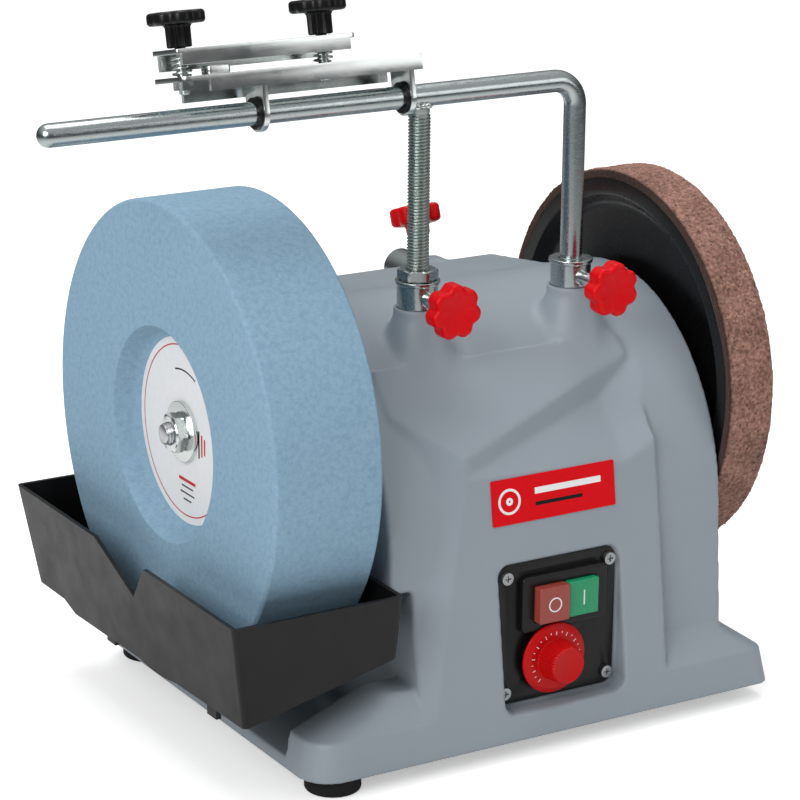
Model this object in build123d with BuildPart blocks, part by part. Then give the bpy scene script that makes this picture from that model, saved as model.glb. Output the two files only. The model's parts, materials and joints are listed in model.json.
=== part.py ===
"""Bench-top wet grinding sharpener: water-cooled stone, leather honing wheel, tool support and clamp jig.

Frame: +X runs along the shaft from the stone to the leather wheel, -Y faces the user, +Z is up.
The origin is at the bottom centre of the machine's bounding box, on the bench. Millimetres.
"""
from math import cos, radians, sin
import os

from build123d import *

# ---- driving dimensions -------------------------------------------------------------------------
# Lengths along the shaft are given from the stone's outer face, heights from the shaft's axis.
STONE_X = -118.5
SHAFT_Z = 169.5
SHAFT_RADIUS = 6.0
BORE_RADIUS = 6.05  # pieces fixed on the shaft
SHAFT_X0 = STONE_X + 0.5
SHAFT_X1 = STONE_X + 325.0

STONE_RADIUS = 125.0
STONE_WIDTH = 62.0
RECESS_DEPTH = 13.6
RECESS_RADIUS = 54.0
RECESS_MOUTH = 58.0
LABEL_THICKNESS = 0.3
NUT_FLATS = 19.0

WHEEL_X = STONE_X + 290.5
WHEEL_WIDTH = 29.5
WHEEL_RADIUS = 111.0
LEATHER_THICKNESS = 6.0

WALL = 3.5
HOUSE_X0 = STONE_X + 77.0
HOUSE_X1 = STONE_X + 288.0
SKIRT_X0 = STONE_X + 90.0  # left wall below the drip ledge
LEDGE_Z = SHAFT_Z - 70.0
ARCH_HALF = 107.0
ARCH_RISE = 119.0
SPRING_Z = SHAFT_Z - 60.0
SIDE_LEAN = 0.077  # how far the casing's side leans out for each millimetre down
SHOULDER_X1 = STONE_X + 262.0

BASE_Z0 = 10.0
BASE_X0 = STONE_X + 22.0
BASE_X1 = STONE_X + 316.0
BASE_HALF = 125.4
BASE_EDGE_Z = 30.0
BASE_TOP_Z = 47.0
BASE_CORNERS = (18.0, 9.0)  # stone's side, leather wheel's side
PLINTH_TOP_X0 = STONE_X + 68.0
PLATE_GAUGE = 2.0
FOOT_RADIUS = 15.0
FOOT_PITCH_Y = (214.0, 164.0)  # left pair, right pair
FOOT_X = (STONE_X + 43.0, STONE_X + 286.0)
BAY_HALF = 92.0  # half of the room for the tray's well between the left feet

FACE_LEAN = 0.14  # how far the front face leans back for each millimetre up
FACE_X1 = STONE_X + 245.0
FACE_TOP_Z = SHAFT_Z - 5.0
FACE_SLOPE = 1.13  # rise over run of the slope above the face

PANEL_X0 = STONE_X + 140.0
PANEL_X1 = STONE_X + 217.5
PANEL_Z0 = SHAFT_Z - 145.0
PANEL_Z1 = SHAFT_Z - 63.5
PANEL_Y = -110.0  # floor of the recess
PANEL_GAUGE = 2.0
PLATE_X = STONE_X + 177.8
PLATE_Z = SHAFT_Z - 103.6
PLATE_WIDTH = 75.0
PLATE_HEIGHT = 79.0
PLATE_SCREW_PITCH = 65.3
SWITCH_X = STONE_X + 180.5
SWITCH_Z = SHAFT_Z - 87.5
BUTTON_TRAVEL = 2.5
DIAL_X = STONE_X + 173.2
DIAL_Z = SHAFT_Z - 119.5
DIAL_FRONT_Y = -132.0
SKIRT_BACK = 116.4  # back of the dial's skirt, in front of the switch frame
BADGE_X = STONE_X + 177.0
BADGE_Z = SHAFT_Z - 30.3

LEG_Y = -48.0
THREAD_LEG_X = STONE_X + 127.6
SMOOTH_LEG_X = STONE_X + 225.0
LEG_X = (THREAD_LEG_X, SMOOTH_LEG_X)
BAR_RADIUS = 6.0
BAR_Z = SHAFT_Z + 177.5
BAR_X0 = STONE_X - 88.0
BAR_BEND = 14.0
LEG_BOTTOM_Z = SHAFT_Z + 20.0
SLEEVE_RADIUS = 11.0
SLEEVE_BORE = 6.08
SLEEVE_TOP_Z = SHAFT_Z + 79.5
SLEEVE_BOTTOM_Z = SHAFT_Z + 30.0
BOSS_TOP_Z = SHAFT_Z + 65.0
HEIGHT_NUT = 6.0
REAR_SLEEVE_Z = SHAFT_Z + 34.0
REAR_SLEEVE_Y0 = 84.0
REAR_SLEEVE_Y1 = 132.0
REAR_LOCK_Y = 101.5
REAR_LOCK_TILT = 20.0  # degrees, back from upright
REAR_LOCK_REACH = 31.6  # from the sleeve's axis to the back of the lobes
REAR_STUD = 23.6

KNOB_RADIUS = 15.0
KNOB_LOBES = 7
KNOB_DEPTH = 11.0
HUB_DEPTH = 6.0
LOCK_Z = SHAFT_Z + 70.5
LOCK_Y = (-78.0, -81.0)  # backs of the left and right front knobs' lobes
STUD_RADIUS = 4.0
STUD_BORE = 4.08

DRIVE_RADIUS = 50.0
PINION_RADIUS = 6.0
DRIVE_GAP = 0.3
DRIVE_X0 = STONE_X + 98.0
DRIVE_WIDTH = 14.0
MOTOR_DISTANCE = DRIVE_RADIUS + PINION_RADIUS + DRIVE_GAP
MOTOR_Y = MOTOR_DISTANCE * cos(radians(60))
MOTOR_Z = SHAFT_Z - MOTOR_DISTANCE * sin(radians(60))
MOTOR_RADIUS = 36.0
MOTOR_X0 = STONE_X + 130.0
MOTOR_X1 = STONE_X + 236.0
PIVOT_Y = 75.0
PIVOT_Z = SHAFT_Z - 92.0
PIVOT_RADIUS = 5.0
SPRING_Y = 10.0
SPRING_SEAT_Z = 52.0
SPRING_TOP_Z = 79.0

TRAY_X0 = STONE_X - 27.0
TRAY_X1 = STONE_X + 71.5
TRAY_HALF = 130.5
TRAY_RIM_Z = SHAFT_Z - 61.0
TRAY_DEPTH = 72.0
TRAY_WALL = 2.5
TRAY_DRAFT = 0.165
TRAY_END_DRAFT = 0.115
TRAY_FLOOR_RISE = 14.5  # degrees, floor of the tray up towards the casing
TRAY_CORNER = 3.5
WELL_RADIUS = 133.0  # trough round the stone, about the shaft
WELL_TOP_Z = SHAFT_Z - 92.0
WELL_X0 = STONE_X - 6.0
WELL_X1 = STONE_X + 66.0
HOOK_Y = 60.0
HOOK_Z = SHAFT_Z - 80.0

JIG_TILT = 12.0  # degrees, leaning back about the bar
JIG_X0 = STONE_X - 16.0
JIG_X1 = STONE_X + 123.0
JIG_HALF = 17.0
JIG_TOP = 21.6  # above the bar's axis
JIG_GAUGE = 2.5
LUG_X = (STONE_X + 31.5, STONE_X + 117.0)
LUG_GAUGE = 3.0
LUG_RADIUS = 9.6
BUSH_RADIUS = 8.0
CLAMP_X0 = STONE_X - 16.0
CLAMP_X1 = STONE_X + 85.0
CLAMP_HALF = 14.0
CLAMP_TOP = 35.4
JIG_SCREW_X = (STONE_X - 7.0, STONE_X + 73.0)
JIG_SCREW_RADIUS = 3.0
JIG_KNOB_Z = 36.0  # underside of the knobs' hubs above the bar's axis

shaft_plane = Plane(origin=(0, 0, SHAFT_Z), x_dir=(0, 1, 0), z_dir=(1, 0, 0))  # u = Y, v = Z, out = +X
motor_plane = Plane(origin=(0, MOTOR_Y, MOTOR_Z), x_dir=(0, 1, 0), z_dir=(1, 0, 0))
front_plane = Plane(origin=(0, 0, 0), x_dir=(1, 0, 0), z_dir=(0, -1, 0))  # u = X, v = Z, out = -Y
jig_plane = Plane(
    origin=(0, LEG_Y, BAR_Z),
    x_dir=(1, 0, 0),
    z_dir=(0, sin(radians(JIG_TILT)), cos(radians(JIG_TILT))),
)


def save(part, name):
    """Label a finished piece and write it to its own file."""
    part.label = name
    export_step(part, f"parts/{name}.step")


def face_y(z):
    """Y of the leaning front face at height z."""
    return -BASE_HALF + FACE_LEAN * (z - BASE_Z0)


def side_half(z):
    """Half width of the casing below the arch's springing."""
    return ARCH_HALF + SIDE_LEAN * (SPRING_Z - z)


def disc(radius, bore, x0, x1, plane=shaft_plane):
    """A plain round piece on the shaft's axis, or on another axis along X."""
    with BuildPart() as body:
        with BuildSketch(plane.offset(x0)):
            Circle(radius)
            if bore:
                Circle(bore, mode=Mode.SUBTRACT)
        extrude(amount=x1 - x0)
    return body.part


# ---- housing ------------------------------------------------------------------------------------
def arch_body(inset, x0, x1, z0):
    """A length of the arched casing, inset from its outer skin, that starts at height z0."""
    half = ARCH_HALF - inset
    foot = side_half(z0) - inset
    with BuildPart() as body:
        with BuildSketch(Plane.YZ.offset(x0)):
            with BuildLine():
                EllipticalCenterArc((0, SPRING_Z), half, ARCH_RISE - inset, 0, arc_size=180)
                Polyline((-half, SPRING_Z), (-foot, z0), (foot, z0), (half, SPRING_Z))
            make_face()
        extrude(amount=x1 - x0)
    return body.part


def shoulder_body(inset):
    """The square rear shoulder that carries the horizontal sleeves."""
    with BuildPart() as body:
        with BuildSketch(Plane.YZ.offset(HOUSE_X0 + inset)):
            with BuildLine():
                Polyline(
                    (-5, SHAFT_Z + 58.8 - inset),
                    (88 - inset, SHAFT_Z + 47.0 - inset),
                    (97 - inset, SHAFT_Z + 38.0 - inset),
                    (101 - inset, SHAFT_Z + 5.0),
                    (60, SHAFT_Z - 20.0),
                    (-5, SHAFT_Z - 20.0),
                    close=True,
                )
            make_face()
        extrude(amount=SHOULDER_X1 - HOUSE_X0 - 2 * inset)
    return body.part


def front_block(inset):
    """The leaning control block, with its bevelled left side and its sloping top."""
    with BuildPart() as body:
        with BuildSketch(Plane.YZ.offset(SKIRT_X0 + inset)):
            with BuildLine():
                Polyline(
                    (face_y(BASE_Z0) + inset, BASE_Z0),
                    (face_y(FACE_TOP_Z) + inset, FACE_TOP_Z - inset),
                    (face_y(FACE_TOP_Z) + inset + 40, FACE_TOP_Z - inset + 40 * FACE_SLOPE),
                    (face_y(FACE_TOP_Z) + inset + 40, BASE_Z0),
                    close=True,
                )
            make_face()
        extrude(amount=FACE_X1 - SKIRT_X0 - 2 * inset)
        low = SHAFT_Z - 133.0
        split(
            bisect_by=Plane(
                origin=(STONE_X + 97.5 + inset, face_y(low) + inset, low),
                z_dir=(-0.385, -0.898, 0.211),
            ),
            keep=Keep.BOTTOM,
        )
    return body.part


def base_outline(x0, x1, half, inset):
    """Footprint of the casing at one height, inset from the outer skin."""
    with BuildSketch() as outline:
        with Locations(((x0 + x1) / 2, 0)):
            Rectangle(x1 - x0 - 2 * inset, 2 * (half - inset))
        fillet(outline.vertices().group_by(Axis.X)[0], BASE_CORNERS[0] - inset)
        fillet(outline.vertices().group_by(Axis.X)[-1], BASE_CORNERS[1] - inset)
    return outline.sketch


def plinth_body(inset):
    """The four-cornered foot of the casing, with the slope that leads up to the arch."""
    edge = base_outline(BASE_X0 + 3.5, BASE_X1 - 3.5, BASE_HALF - 3, inset)
    with BuildPart() as body:
        with BuildSketch(Plane.XY.offset(BASE_Z0)):
            add(base_outline(BASE_X0, BASE_X1, BASE_HALF, inset))
        with BuildSketch(Plane.XY.offset(BASE_EDGE_Z - inset)):
            add(edge)
        loft()
        with BuildSketch(Plane.XY.offset(BASE_EDGE_Z - inset)):
            add(edge)
        with BuildSketch(Plane.XY.offset(BASE_TOP_Z - inset)):
            add(base_outline(PLINTH_TOP_X0, HOUSE_X1, side_half(BASE_TOP_Z), inset))
        loft()
    return body.part


def face_scoop(inset):
    """The space above the front face: a slope, with a low riser that runs diagonally up the arch."""
    corners = (
        (STONE_X + 60.0, -111.0, SHAFT_Z - 22.0),
        (STONE_X + 126.0, -104.0, SHAFT_Z - 13.5),
        (STONE_X + 224.0, -80.0, SHAFT_Z + 9.0),
        (STONE_X + 256.0, -71.0, SHAFT_Z + 31.0),
    )
    with BuildPart() as body:
        for x, y, z in corners:
            with BuildSketch(Plane.YZ.offset(x)):
                with BuildLine():
                    Polyline(
                        (y + inset, z - inset),
                        (y + inset + 8, z - inset + 70),
                        (y + inset - 70, z - inset + 70),
                        (y + inset - 70, z - inset - 70 * FACE_SLOPE),
                        close=True,
                    )
                make_face()
        loft(ruled=True)
    return body.part


def casing_body(inset):
    """Arch, shoulder, front block and plinth together, inset from the outer skin."""
    with BuildPart() as body:
        add(arch_body(inset, HOUSE_X0 + inset, HOUSE_X1 - inset, LEDGE_Z + inset))
        add(arch_body(inset, SKIRT_X0 + inset, HOUSE_X1 - inset, BASE_Z0))
        add(shoulder_body(inset))
        add(front_block(inset))
        add(face_scoop(inset), mode=Mode.SUBTRACT)
        add(plinth_body(inset))
    return body.part


def make_housing():
    with BuildPart() as housing:
        add(casing_body(0))
        # recess of the control panel
        with BuildSketch(front_plane.offset(-PANEL_Y)):
            with Locations(((PANEL_X0 + PANEL_X1) / 2, (PANEL_Z0 + PANEL_Z1) / 2)):
                RectangleRounded(PANEL_X1 - PANEL_X0, PANEL_Z1 - PANEL_Z0, 7)
        extrude(amount=40, mode=Mode.SUBTRACT)
        # room for the tray's well between the left feet
        with BuildSketch(Plane.XY.offset(15.7)):
            with Locations((BASE_X0 + 30, 0)):
                Rectangle(76, 2 * BAY_HALF)
        extrude(amount=60, mode=Mode.SUBTRACT)
        # the left wall below the ledge
        with BuildSketch(Plane.XY.offset(12.2)):
            with Locations((SKIRT_X0 + 1.75, 0)):
                Rectangle(3.5, 2 * BAY_HALF)
        extrude(amount=60)
        # hollow
        with BuildPart(mode=Mode.PRIVATE) as hollow:
            add(casing_body(WALL))
            with BuildSketch(front_plane.offset(-PANEL_Y - WALL)):
                with Locations(((PANEL_X0 + PANEL_X1) / 2, (PANEL_Z0 + PANEL_Z1) / 2)):
                    Rectangle(PANEL_X1 - PANEL_X0 + 2 * WALL, PANEL_Z1 - PANEL_Z0 + 2 * WALL)
            extrude(amount=40, mode=Mode.SUBTRACT)
            with BuildSketch(Plane.XY.offset(12.2)):
                with Locations((BASE_X0 + 31.75, 0)):
                    Rectangle(80, 2 * BAY_HALF + 7)
            extrude(amount=70, mode=Mode.SUBTRACT)
        add(hollow.part, mode=Mode.SUBTRACT)
        # window behind the control plate
        with BuildSketch(front_plane.offset(-PANEL_Y - WALL - 1)):
            with Locations((PLATE_X, PLATE_Z)):
                Rectangle(60, 72)
        extrude(amount=8, mode=Mode.SUBTRACT)
        with BuildSketch(front_plane.offset(-PANEL_Y - WALL - 1)):
            with Locations((PLATE_X, PLATE_Z)):
                with GridLocations(PLATE_SCREW_PITCH, PLATE_SCREW_PITCH, 2, 2):
                    Circle(1.6)
        extrude(amount=8, mode=Mode.SUBTRACT)
        # flared bosses of the vertical sleeves
        for x in LEG_X:
            with BuildSketch(Plane.XY.offset(SLEEVE_BOTTOM_Z)):
                with Locations((x, LEG_Y)):
                    Circle(25)
            with BuildSketch(Plane.XY.offset(SHAFT_Z + 60.0)):
                with Locations((x, LEG_Y)):
                    Circle(12.8)
            loft()
            with BuildSketch(Plane.XY.offset(SHAFT_Z + 60.0)):
                with Locations((x, LEG_Y)):
                    Circle(12.8)
            extrude(amount=BOSS_TOP_Z - SHAFT_Z - 60.0)
            with BuildSketch(Plane.XY.offset(SLEEVE_BOTTOM_Z)):
                with Locations((x, LEG_Y)):
                    Circle(SLEEVE_RADIUS + 0.05)
            extrude(amount=80, mode=Mode.SUBTRACT)
        # room for the drive wheel
        with BuildSketch(shaft_plane.offset(DRIVE_X0 - 2)):
            Circle(DRIVE_RADIUS + 3)
        extrude(amount=DRIVE_WIDTH + 4, mode=Mode.SUBTRACT)
        # collars of the horizontal sleeves
        for x in LEG_X:
            with BuildSketch(Plane.XZ.offset(-REAR_SLEEVE_Y0)):
                with Locations((x, REAR_SLEEVE_Z)):
                    Circle(14.5)
            extrude(amount=-14)
            with BuildSketch(Plane.XZ.offset(-REAR_SLEEVE_Y0)):
                with Locations((x, REAR_SLEEVE_Z)):
                    Circle(SLEEVE_RADIUS + 0.05)
            extrude(amount=-60, mode=Mode.SUBTRACT)
        # bearing bosses
        for x0, x1 in ((HOUSE_X0, STONE_X + 95.0), (STONE_X + 268.0, HOUSE_X1)):
            with BuildSketch(shaft_plane.offset(x0)):
                Circle(17)
            extrude(amount=x1 - x0)
            with BuildSketch(shaft_plane.offset(x0)):
                Circle(11.05)
            extrude(amount=x1 - x0, mode=Mode.SUBTRACT)
        # posts for the foot screws
        for x, pitch, height in zip(FOOT_X, FOOT_PITCH_Y, (22, 33)):
            with BuildSketch(Plane.XY.offset(BASE_Z0 + PLATE_GAUGE)):
                with Locations((x, 0)):
                    with GridLocations(0, pitch, 1, 2):
                        Circle(6)
            extrude(amount=height)
            with BuildSketch(Plane.XY.offset(BASE_Z0 + PLATE_GAUGE)):
                with Locations((x, 0)):
                    with GridLocations(0, pitch, 1, 2):
                        Circle(2.6)
            extrude(amount=13, mode=Mode.SUBTRACT)
        # ledges that carry the tray's hooks
        with BuildSketch(Plane.XY.offset(HOOK_Z - 6)):
            with Locations((STONE_X + 86.5, 0)):
                with GridLocations(0, 2 * HOOK_Y, 1, 2):
                    Rectangle(8, 22)
        extrude(amount=5.8)
        # outlet of the cable gland
        with BuildSketch(Plane.XZ.offset(-100)):
            with Locations((STONE_X + 255.0, SHAFT_Z - 105.0)):
                Circle(8.1)
        extrude(amount=-20, mode=Mode.SUBTRACT)
    return housing.part



# ---- fixed pieces -------------------------------------------------------------------------------
def make_base_plate():
    """Steel sheet that closes the underside, with the seat of the cradle's spring."""
    with BuildPart() as plate:
        with BuildSketch(Plane.XY.offset(BASE_Z0)):
            add(base_outline(BASE_X0, BASE_X1, BASE_HALF, 5))
            for x, pitch in zip(FOOT_X, FOOT_PITCH_Y):
                with Locations((x, 0)):
                    with GridLocations(0, pitch, 1, 2):
                        Circle(2.6, mode=Mode.SUBTRACT)
        extrude(amount=PLATE_GAUGE)
        with BuildSketch(Plane.XY.offset(BASE_Z0 + PLATE_GAUGE)):
            with Locations((STONE_X + 185, SPRING_Y)):
                Circle(9)
        extrude(amount=SPRING_SEAT_Z - BASE_Z0 - PLATE_GAUGE)
    return plate.part


def make_feet():
    with BuildPart() as feet:
        for x, pitch in zip(FOOT_X, FOOT_PITCH_Y):
            for side in (-1, 1):
                with BuildSketch(Plane.XY):
                    with Locations((x, side * pitch / 2)):
                        Circle(FOOT_RADIUS)
                        Circle(2.6, mode=Mode.SUBTRACT)
                extrude(amount=BASE_Z0)
                with BuildSketch(Plane.XY):
                    with Locations((x, side * pitch / 2)):
                        Circle(5.2)
                extrude(amount=4, mode=Mode.SUBTRACT)
        fillet(feet.edges().filter_by(GeomType.CIRCLE).group_by(Axis.Z)[0].group_by(SortBy.RADIUS)[-1], 2)
    return feet.part


def make_foot_screws():
    with BuildPart() as screws:
        for x, pitch in zip(FOOT_X, FOOT_PITCH_Y):
            for side in (-1, 1):
                with BuildSketch(Plane.XY.offset(1)):
                    with Locations((x, side * pitch / 2)):
                        Circle(4.8)
                extrude(amount=2.9)
                with BuildSketch(Plane.XY.offset(3.9)):
                    with Locations((x, side * pitch / 2)):
                        Circle(2.5)
                extrude(amount=19)
                with BuildSketch(Plane.XY.offset(1)):
                    with Locations((x, side * pitch / 2)):
                        Rectangle(5, 1.2)
                        Rectangle(1.2, 5)
                extrude(amount=1.5, mode=Mode.SUBTRACT)
    return screws.part


def make_shaft_bushes():
    with BuildPart() as bushes:
        for x0, x1 in ((HOUSE_X0, STONE_X + 95.0), (STONE_X + 268.0, HOUSE_X1)):
            with BuildSketch(shaft_plane.offset(x0)):
                Circle(11)
                Circle(SHAFT_RADIUS + 0.05, mode=Mode.SUBTRACT)
            extrude(amount=x1 - x0)
    return bushes.part


def make_front_sleeves():
    """Upright chromed sleeves with a cross hole for the lock stud."""
    with BuildPart() as sleeves:
        for x in LEG_X:
            with BuildSketch(Plane.XY.offset(SLEEVE_BOTTOM_Z)):
                with Locations((x, LEG_Y)):
                    Circle(SLEEVE_RADIUS)
            extrude(amount=SLEEVE_TOP_Z - SLEEVE_BOTTOM_Z)
            with BuildSketch(Plane.XY.offset(SLEEVE_TOP_Z - 2)):
                with Locations((x, LEG_Y)):
                    Circle(12)
            extrude(amount=2)
            with BuildSketch(Plane.XY.offset(SLEEVE_BOTTOM_Z)):
                with Locations((x, LEG_Y)):
                    Circle(SLEEVE_BORE)
            extrude(amount=60, mode=Mode.SUBTRACT)
            with BuildSketch(front_plane.offset(-LEG_Y)):
                with Locations((x, LOCK_Z)):
                    Circle(STUD_BORE)
            extrude(amount=20, mode=Mode.SUBTRACT)
        chamfer(sleeves.edges().filter_by(GeomType.CIRCLE).group_by(Axis.Z)[-1], 0.5)
    return sleeves.part


def make_rear_sleeves():
    """Horizontal chromed sleeves in the shoulder, for grinding from the back."""
    with BuildPart() as sleeves:
        for x in LEG_X:
            with BuildSketch(Plane.XZ.offset(-REAR_SLEEVE_Y0)):
                with Locations((x, REAR_SLEEVE_Z)):
                    Circle(SLEEVE_RADIUS)
                    Circle(SLEEVE_BORE, mode=Mode.SUBTRACT)
            extrude(amount=REAR_SLEEVE_Y0 - REAR_SLEEVE_Y1)
            with BuildSketch(rear_lock_plane(x, 0)):
                Circle(STUD_BORE)
            extrude(amount=20, mode=Mode.SUBTRACT)
    return sleeves.part


def make_panel_plate():
    with BuildPart() as plate:
        with BuildSketch(front_plane.offset(-PANEL_Y)):
            with Locations((PLATE_X, PLATE_Z)):
                RectangleRounded(PLATE_WIDTH, PLATE_HEIGHT, 7)
                with GridLocations(PLATE_SCREW_PITCH, PLATE_SCREW_PITCH, 2, 2):
                    Circle(1.7, mode=Mode.SUBTRACT)
            with Locations((SWITCH_X, SWITCH_Z)):
                Rectangle(46.2, 26.2, mode=Mode.SUBTRACT)
            with Locations((DIAL_X, DIAL_Z)):
                Circle(4.2, mode=Mode.SUBTRACT)
        extrude(amount=PANEL_GAUGE)
        fillet(plate.faces().sort_by(Axis.Y)[0].outer_wire().edges(), 0.6)
    return plate.part


def make_panel_screws():
    front = -PANEL_Y + PANEL_GAUGE
    with BuildPart() as screws:
        for dx in (-1, 1):
            for dz in (-1, 1):
                spot = (PLATE_X + dx * PLATE_SCREW_PITCH / 2, PLATE_Z + dz * PLATE_SCREW_PITCH / 2)
                with BuildSketch(front_plane.offset(front)):
                    with Locations(spot):
                        Circle(3.4)
                extrude(amount=2)
                with BuildSketch(front_plane.offset(front - 8)):
                    with Locations(spot):
                        Circle(1.55)
                extrude(amount=8)
                with BuildSketch(front_plane.offset(front + 0.8)):
                    with Locations(spot):
                        Rectangle(3.6, 0.8)
                        Rectangle(0.8, 3.6)
                extrude(amount=3, mode=Mode.SUBTRACT)
    return screws.part


def make_switch_body():
    """The switch's frame and block, open in front where the two buttons run."""
    with BuildPart() as switch:
        with BuildSketch(front_plane.offset(-PANEL_Y + PANEL_GAUGE)):
            with Locations((SWITCH_X, SWITCH_Z)):
                RectangleRounded(54, 31.5, 3)
        extrude(amount=4)
        fillet(switch.faces().sort_by(Axis.Y)[0].outer_wire().edges(), 1.2)
        with BuildSketch(front_plane.offset(84)):
            with Locations((SWITCH_X, SWITCH_Z)):
                Rectangle(46, 26)
        extrude(amount=-PANEL_Y + PANEL_GAUGE - 84)
        with BuildSketch(front_plane.offset(102)):
            with Locations((SWITCH_X, SWITCH_Z)):
                Rectangle(39.4, 21)
        extrude(amount=20, mode=Mode.SUBTRACT)
    return switch.part


def make_button(x, front):
    """A switch button: keycap with a dished face and a guide block behind it."""
    with BuildPart() as button:
        with BuildSketch(front_plane.offset(106)):
            with Locations((x, SWITCH_Z)):
                RectangleRounded(19, 20, 1)
        extrude(amount=front - 106)
        fillet(button.faces().sort_by(Axis.Y)[0].edges(), 0.8)
    return button.part


def make_potentiometer():
    with BuildPart() as pot:
        with BuildSketch(front_plane.offset(94)):
            with Locations((DIAL_X, DIAL_Z)):
                Circle(12)
        extrude(amount=12)
        with BuildSketch(front_plane.offset(106)):
            with Locations((DIAL_X, DIAL_Z)):
                Circle(4)
        extrude(amount=7)
        with BuildSketch(front_plane.offset(113)):
            with Locations((DIAL_X, DIAL_Z)):
                Circle(2.95)
        extrude(amount=10)
    return pot.part


def make_speed_dial():
    """Knob with a wide skirt that carries the scale."""
    with BuildPart() as dial:
        with BuildSketch(front_plane.offset(SKIRT_BACK)):
            with Locations((DIAL_X, DIAL_Z)):
                Circle(19.7)
        extrude(amount=3)
        chamfer(dial.faces().sort_by(Axis.Y)[0].edges(), 1.8)
        with BuildSketch(front_plane.offset(112.8)):
            with Locations((DIAL_X, DIAL_Z)):
                Circle(14)
        extrude(amount=SKIRT_BACK - 112.8)
        with BuildSketch(front_plane.offset(SKIRT_BACK + 3)):
            with Locations((DIAL_X, DIAL_Z)):
                Circle(10.9)
        extrude(amount=-DIAL_FRONT_Y - SKIRT_BACK - 3, taper=2)
        fillet(dial.faces().sort_by(Axis.Y)[0].edges(), 1)
        with BuildSketch(front_plane.offset(112.8)):
            with Locations((DIAL_X, DIAL_Z)):
                Circle(4.4)
        extrude(amount=0.6, mode=Mode.SUBTRACT)
        with BuildSketch(front_plane.offset(112.8)):
            with Locations((DIAL_X, DIAL_Z)):
                Circle(3)
        extrude(amount=10.6, mode=Mode.SUBTRACT)
    return dial.part


def make_control_board():
    with BuildPart() as board:
        with BuildSketch(Plane.XY.offset(22)):
            with Locations((STONE_X + 182, -76)):
                Rectangle(70, 44)
        extrude(amount=1.6)
        with BuildSketch(Plane.XY.offset(BASE_Z0 + PLATE_GAUGE)):
            with Locations((STONE_X + 182, -76)):
                with GridLocations(62, 36, 2, 2):
                    Circle(3)
        extrude(amount=10)
        with BuildSketch(Plane.XY.offset(23.6)):
            with Locations((STONE_X + 165, -76)):
                Rectangle(22, 30)
            with Locations((STONE_X + 200, -68)):
                Circle(8)
        extrude(amount=16)
    return board.part


def make_badge():
    lean = radians(8)
    face = Plane(
        origin=(BADGE_X, face_y(BADGE_Z) - 0.05, BADGE_Z),
        x_dir=(1, 0, 0),
        z_dir=(0, -cos(lean), sin(lean)),
    )
    with BuildPart() as badge:
        with BuildSketch(face):
            RectangleRounded(78, 24.6, 0.8)
        extrude(amount=0.6)
    return badge.part


def make_cable_gland():
    """Gland of the mains lead in the back wall; the lead itself isn't part of the model."""
    spot = (STONE_X + 255.0, SHAFT_Z - 105.0)
    with BuildPart() as gland:
        with BuildSketch(Plane.XZ.offset(-104)):
            with Locations(spot):
                Circle(8)
        extrude(amount=-9)
        with BuildSketch(Plane.XZ.offset(-112.5)):
            with Locations(spot):
                RegularPolygon(10, 6, major_radius=False)
        extrude(amount=-6)
        with BuildSketch(Plane.XZ.offset(-118.5)):
            with Locations(spot):
                Circle(8)
        extrude(amount=-6, taper=10)
        with BuildSketch(Plane.XZ.offset(-104)):
            with Locations(spot):
                Circle(3.6)
        extrude(amount=-30, mode=Mode.SUBTRACT)
    return gland.part


def make_pivot_rod():
    return disc(PIVOT_RADIUS, 0, STONE_X + 136, STONE_X + 234, Plane(
        origin=(0, PIVOT_Y, PIVOT_Z), x_dir=(0, 1, 0), z_dir=(1, 0, 0)))


def make_pivot_brackets():
    """Two upright sheets on the base plate that hold the cradle's rod."""
    with BuildPart() as brackets:
        for x in (STONE_X + 138, STONE_X + 229):
            with BuildSketch(Plane.YZ.offset(x)):
                with Locations((PIVOT_Y, (PIVOT_Z + BASE_Z0 + PLATE_GAUGE) / 2)):
                    Rectangle(24, PIVOT_Z - BASE_Z0 - PLATE_GAUGE)
                with Locations((PIVOT_Y, PIVOT_Z)):
                    Circle(12)
                    Circle(PIVOT_RADIUS + 0.05, mode=Mode.SUBTRACT)
            extrude(amount=3)
    return brackets.part


# ---- shaft and wheels ---------------------------------------------------------------------------
def make_main_shaft():
    with BuildPart() as shaft:
        with BuildSketch(shaft_plane.offset(SHAFT_X0)):
            Circle(SHAFT_RADIUS)
        extrude(amount=SHAFT_X1 - SHAFT_X0)
        chamfer(shaft.edges().filter_by(GeomType.CIRCLE), 0.8)
    return shaft.part


def make_stone():
    with BuildPart() as stone:
        with BuildSketch(Plane(origin=(STONE_X, 0, SHAFT_Z), x_dir=(1, 0, 0), z_dir=(0, -1, 0))):
            with BuildLine():
                Polyline(
                    (RECESS_DEPTH, BORE_RADIUS),
                    (RECESS_DEPTH, RECESS_RADIUS - 3),
                    (RECESS_DEPTH - 3, RECESS_RADIUS),
                    (0, RECESS_MOUTH),
                    (0, STONE_RADIUS - 1.2),
                    (1.2, STONE_RADIUS),
                    (STONE_WIDTH - 1.2, STONE_RADIUS),
                    (STONE_WIDTH, STONE_RADIUS - 1.2),
                    (STONE_WIDTH, BORE_RADIUS),
                    close=True,
                )
            make_face()
        revolve(axis=Axis((0, 0, SHAFT_Z), (1, 0, 0)))
    return stone.part


def make_nut(x0, height):
    with BuildPart() as nut:
        with BuildSketch(shaft_plane.offset(x0)):
            RegularPolygon(NUT_FLATS / 2, 6, major_radius=False)
            Circle(BORE_RADIUS, mode=Mode.SUBTRACT)
        extrude(amount=height)
    return nut.part


def make_retaining_rings():
    with BuildPart() as rings:
        for x in (STONE_X + 95.5, STONE_X + 266.0):
            with BuildSketch(shaft_plane.offset(x)):
                Circle(9)
                Circle(BORE_RADIUS, mode=Mode.SUBTRACT)
            extrude(amount=1.5)
    return rings.part


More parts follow.
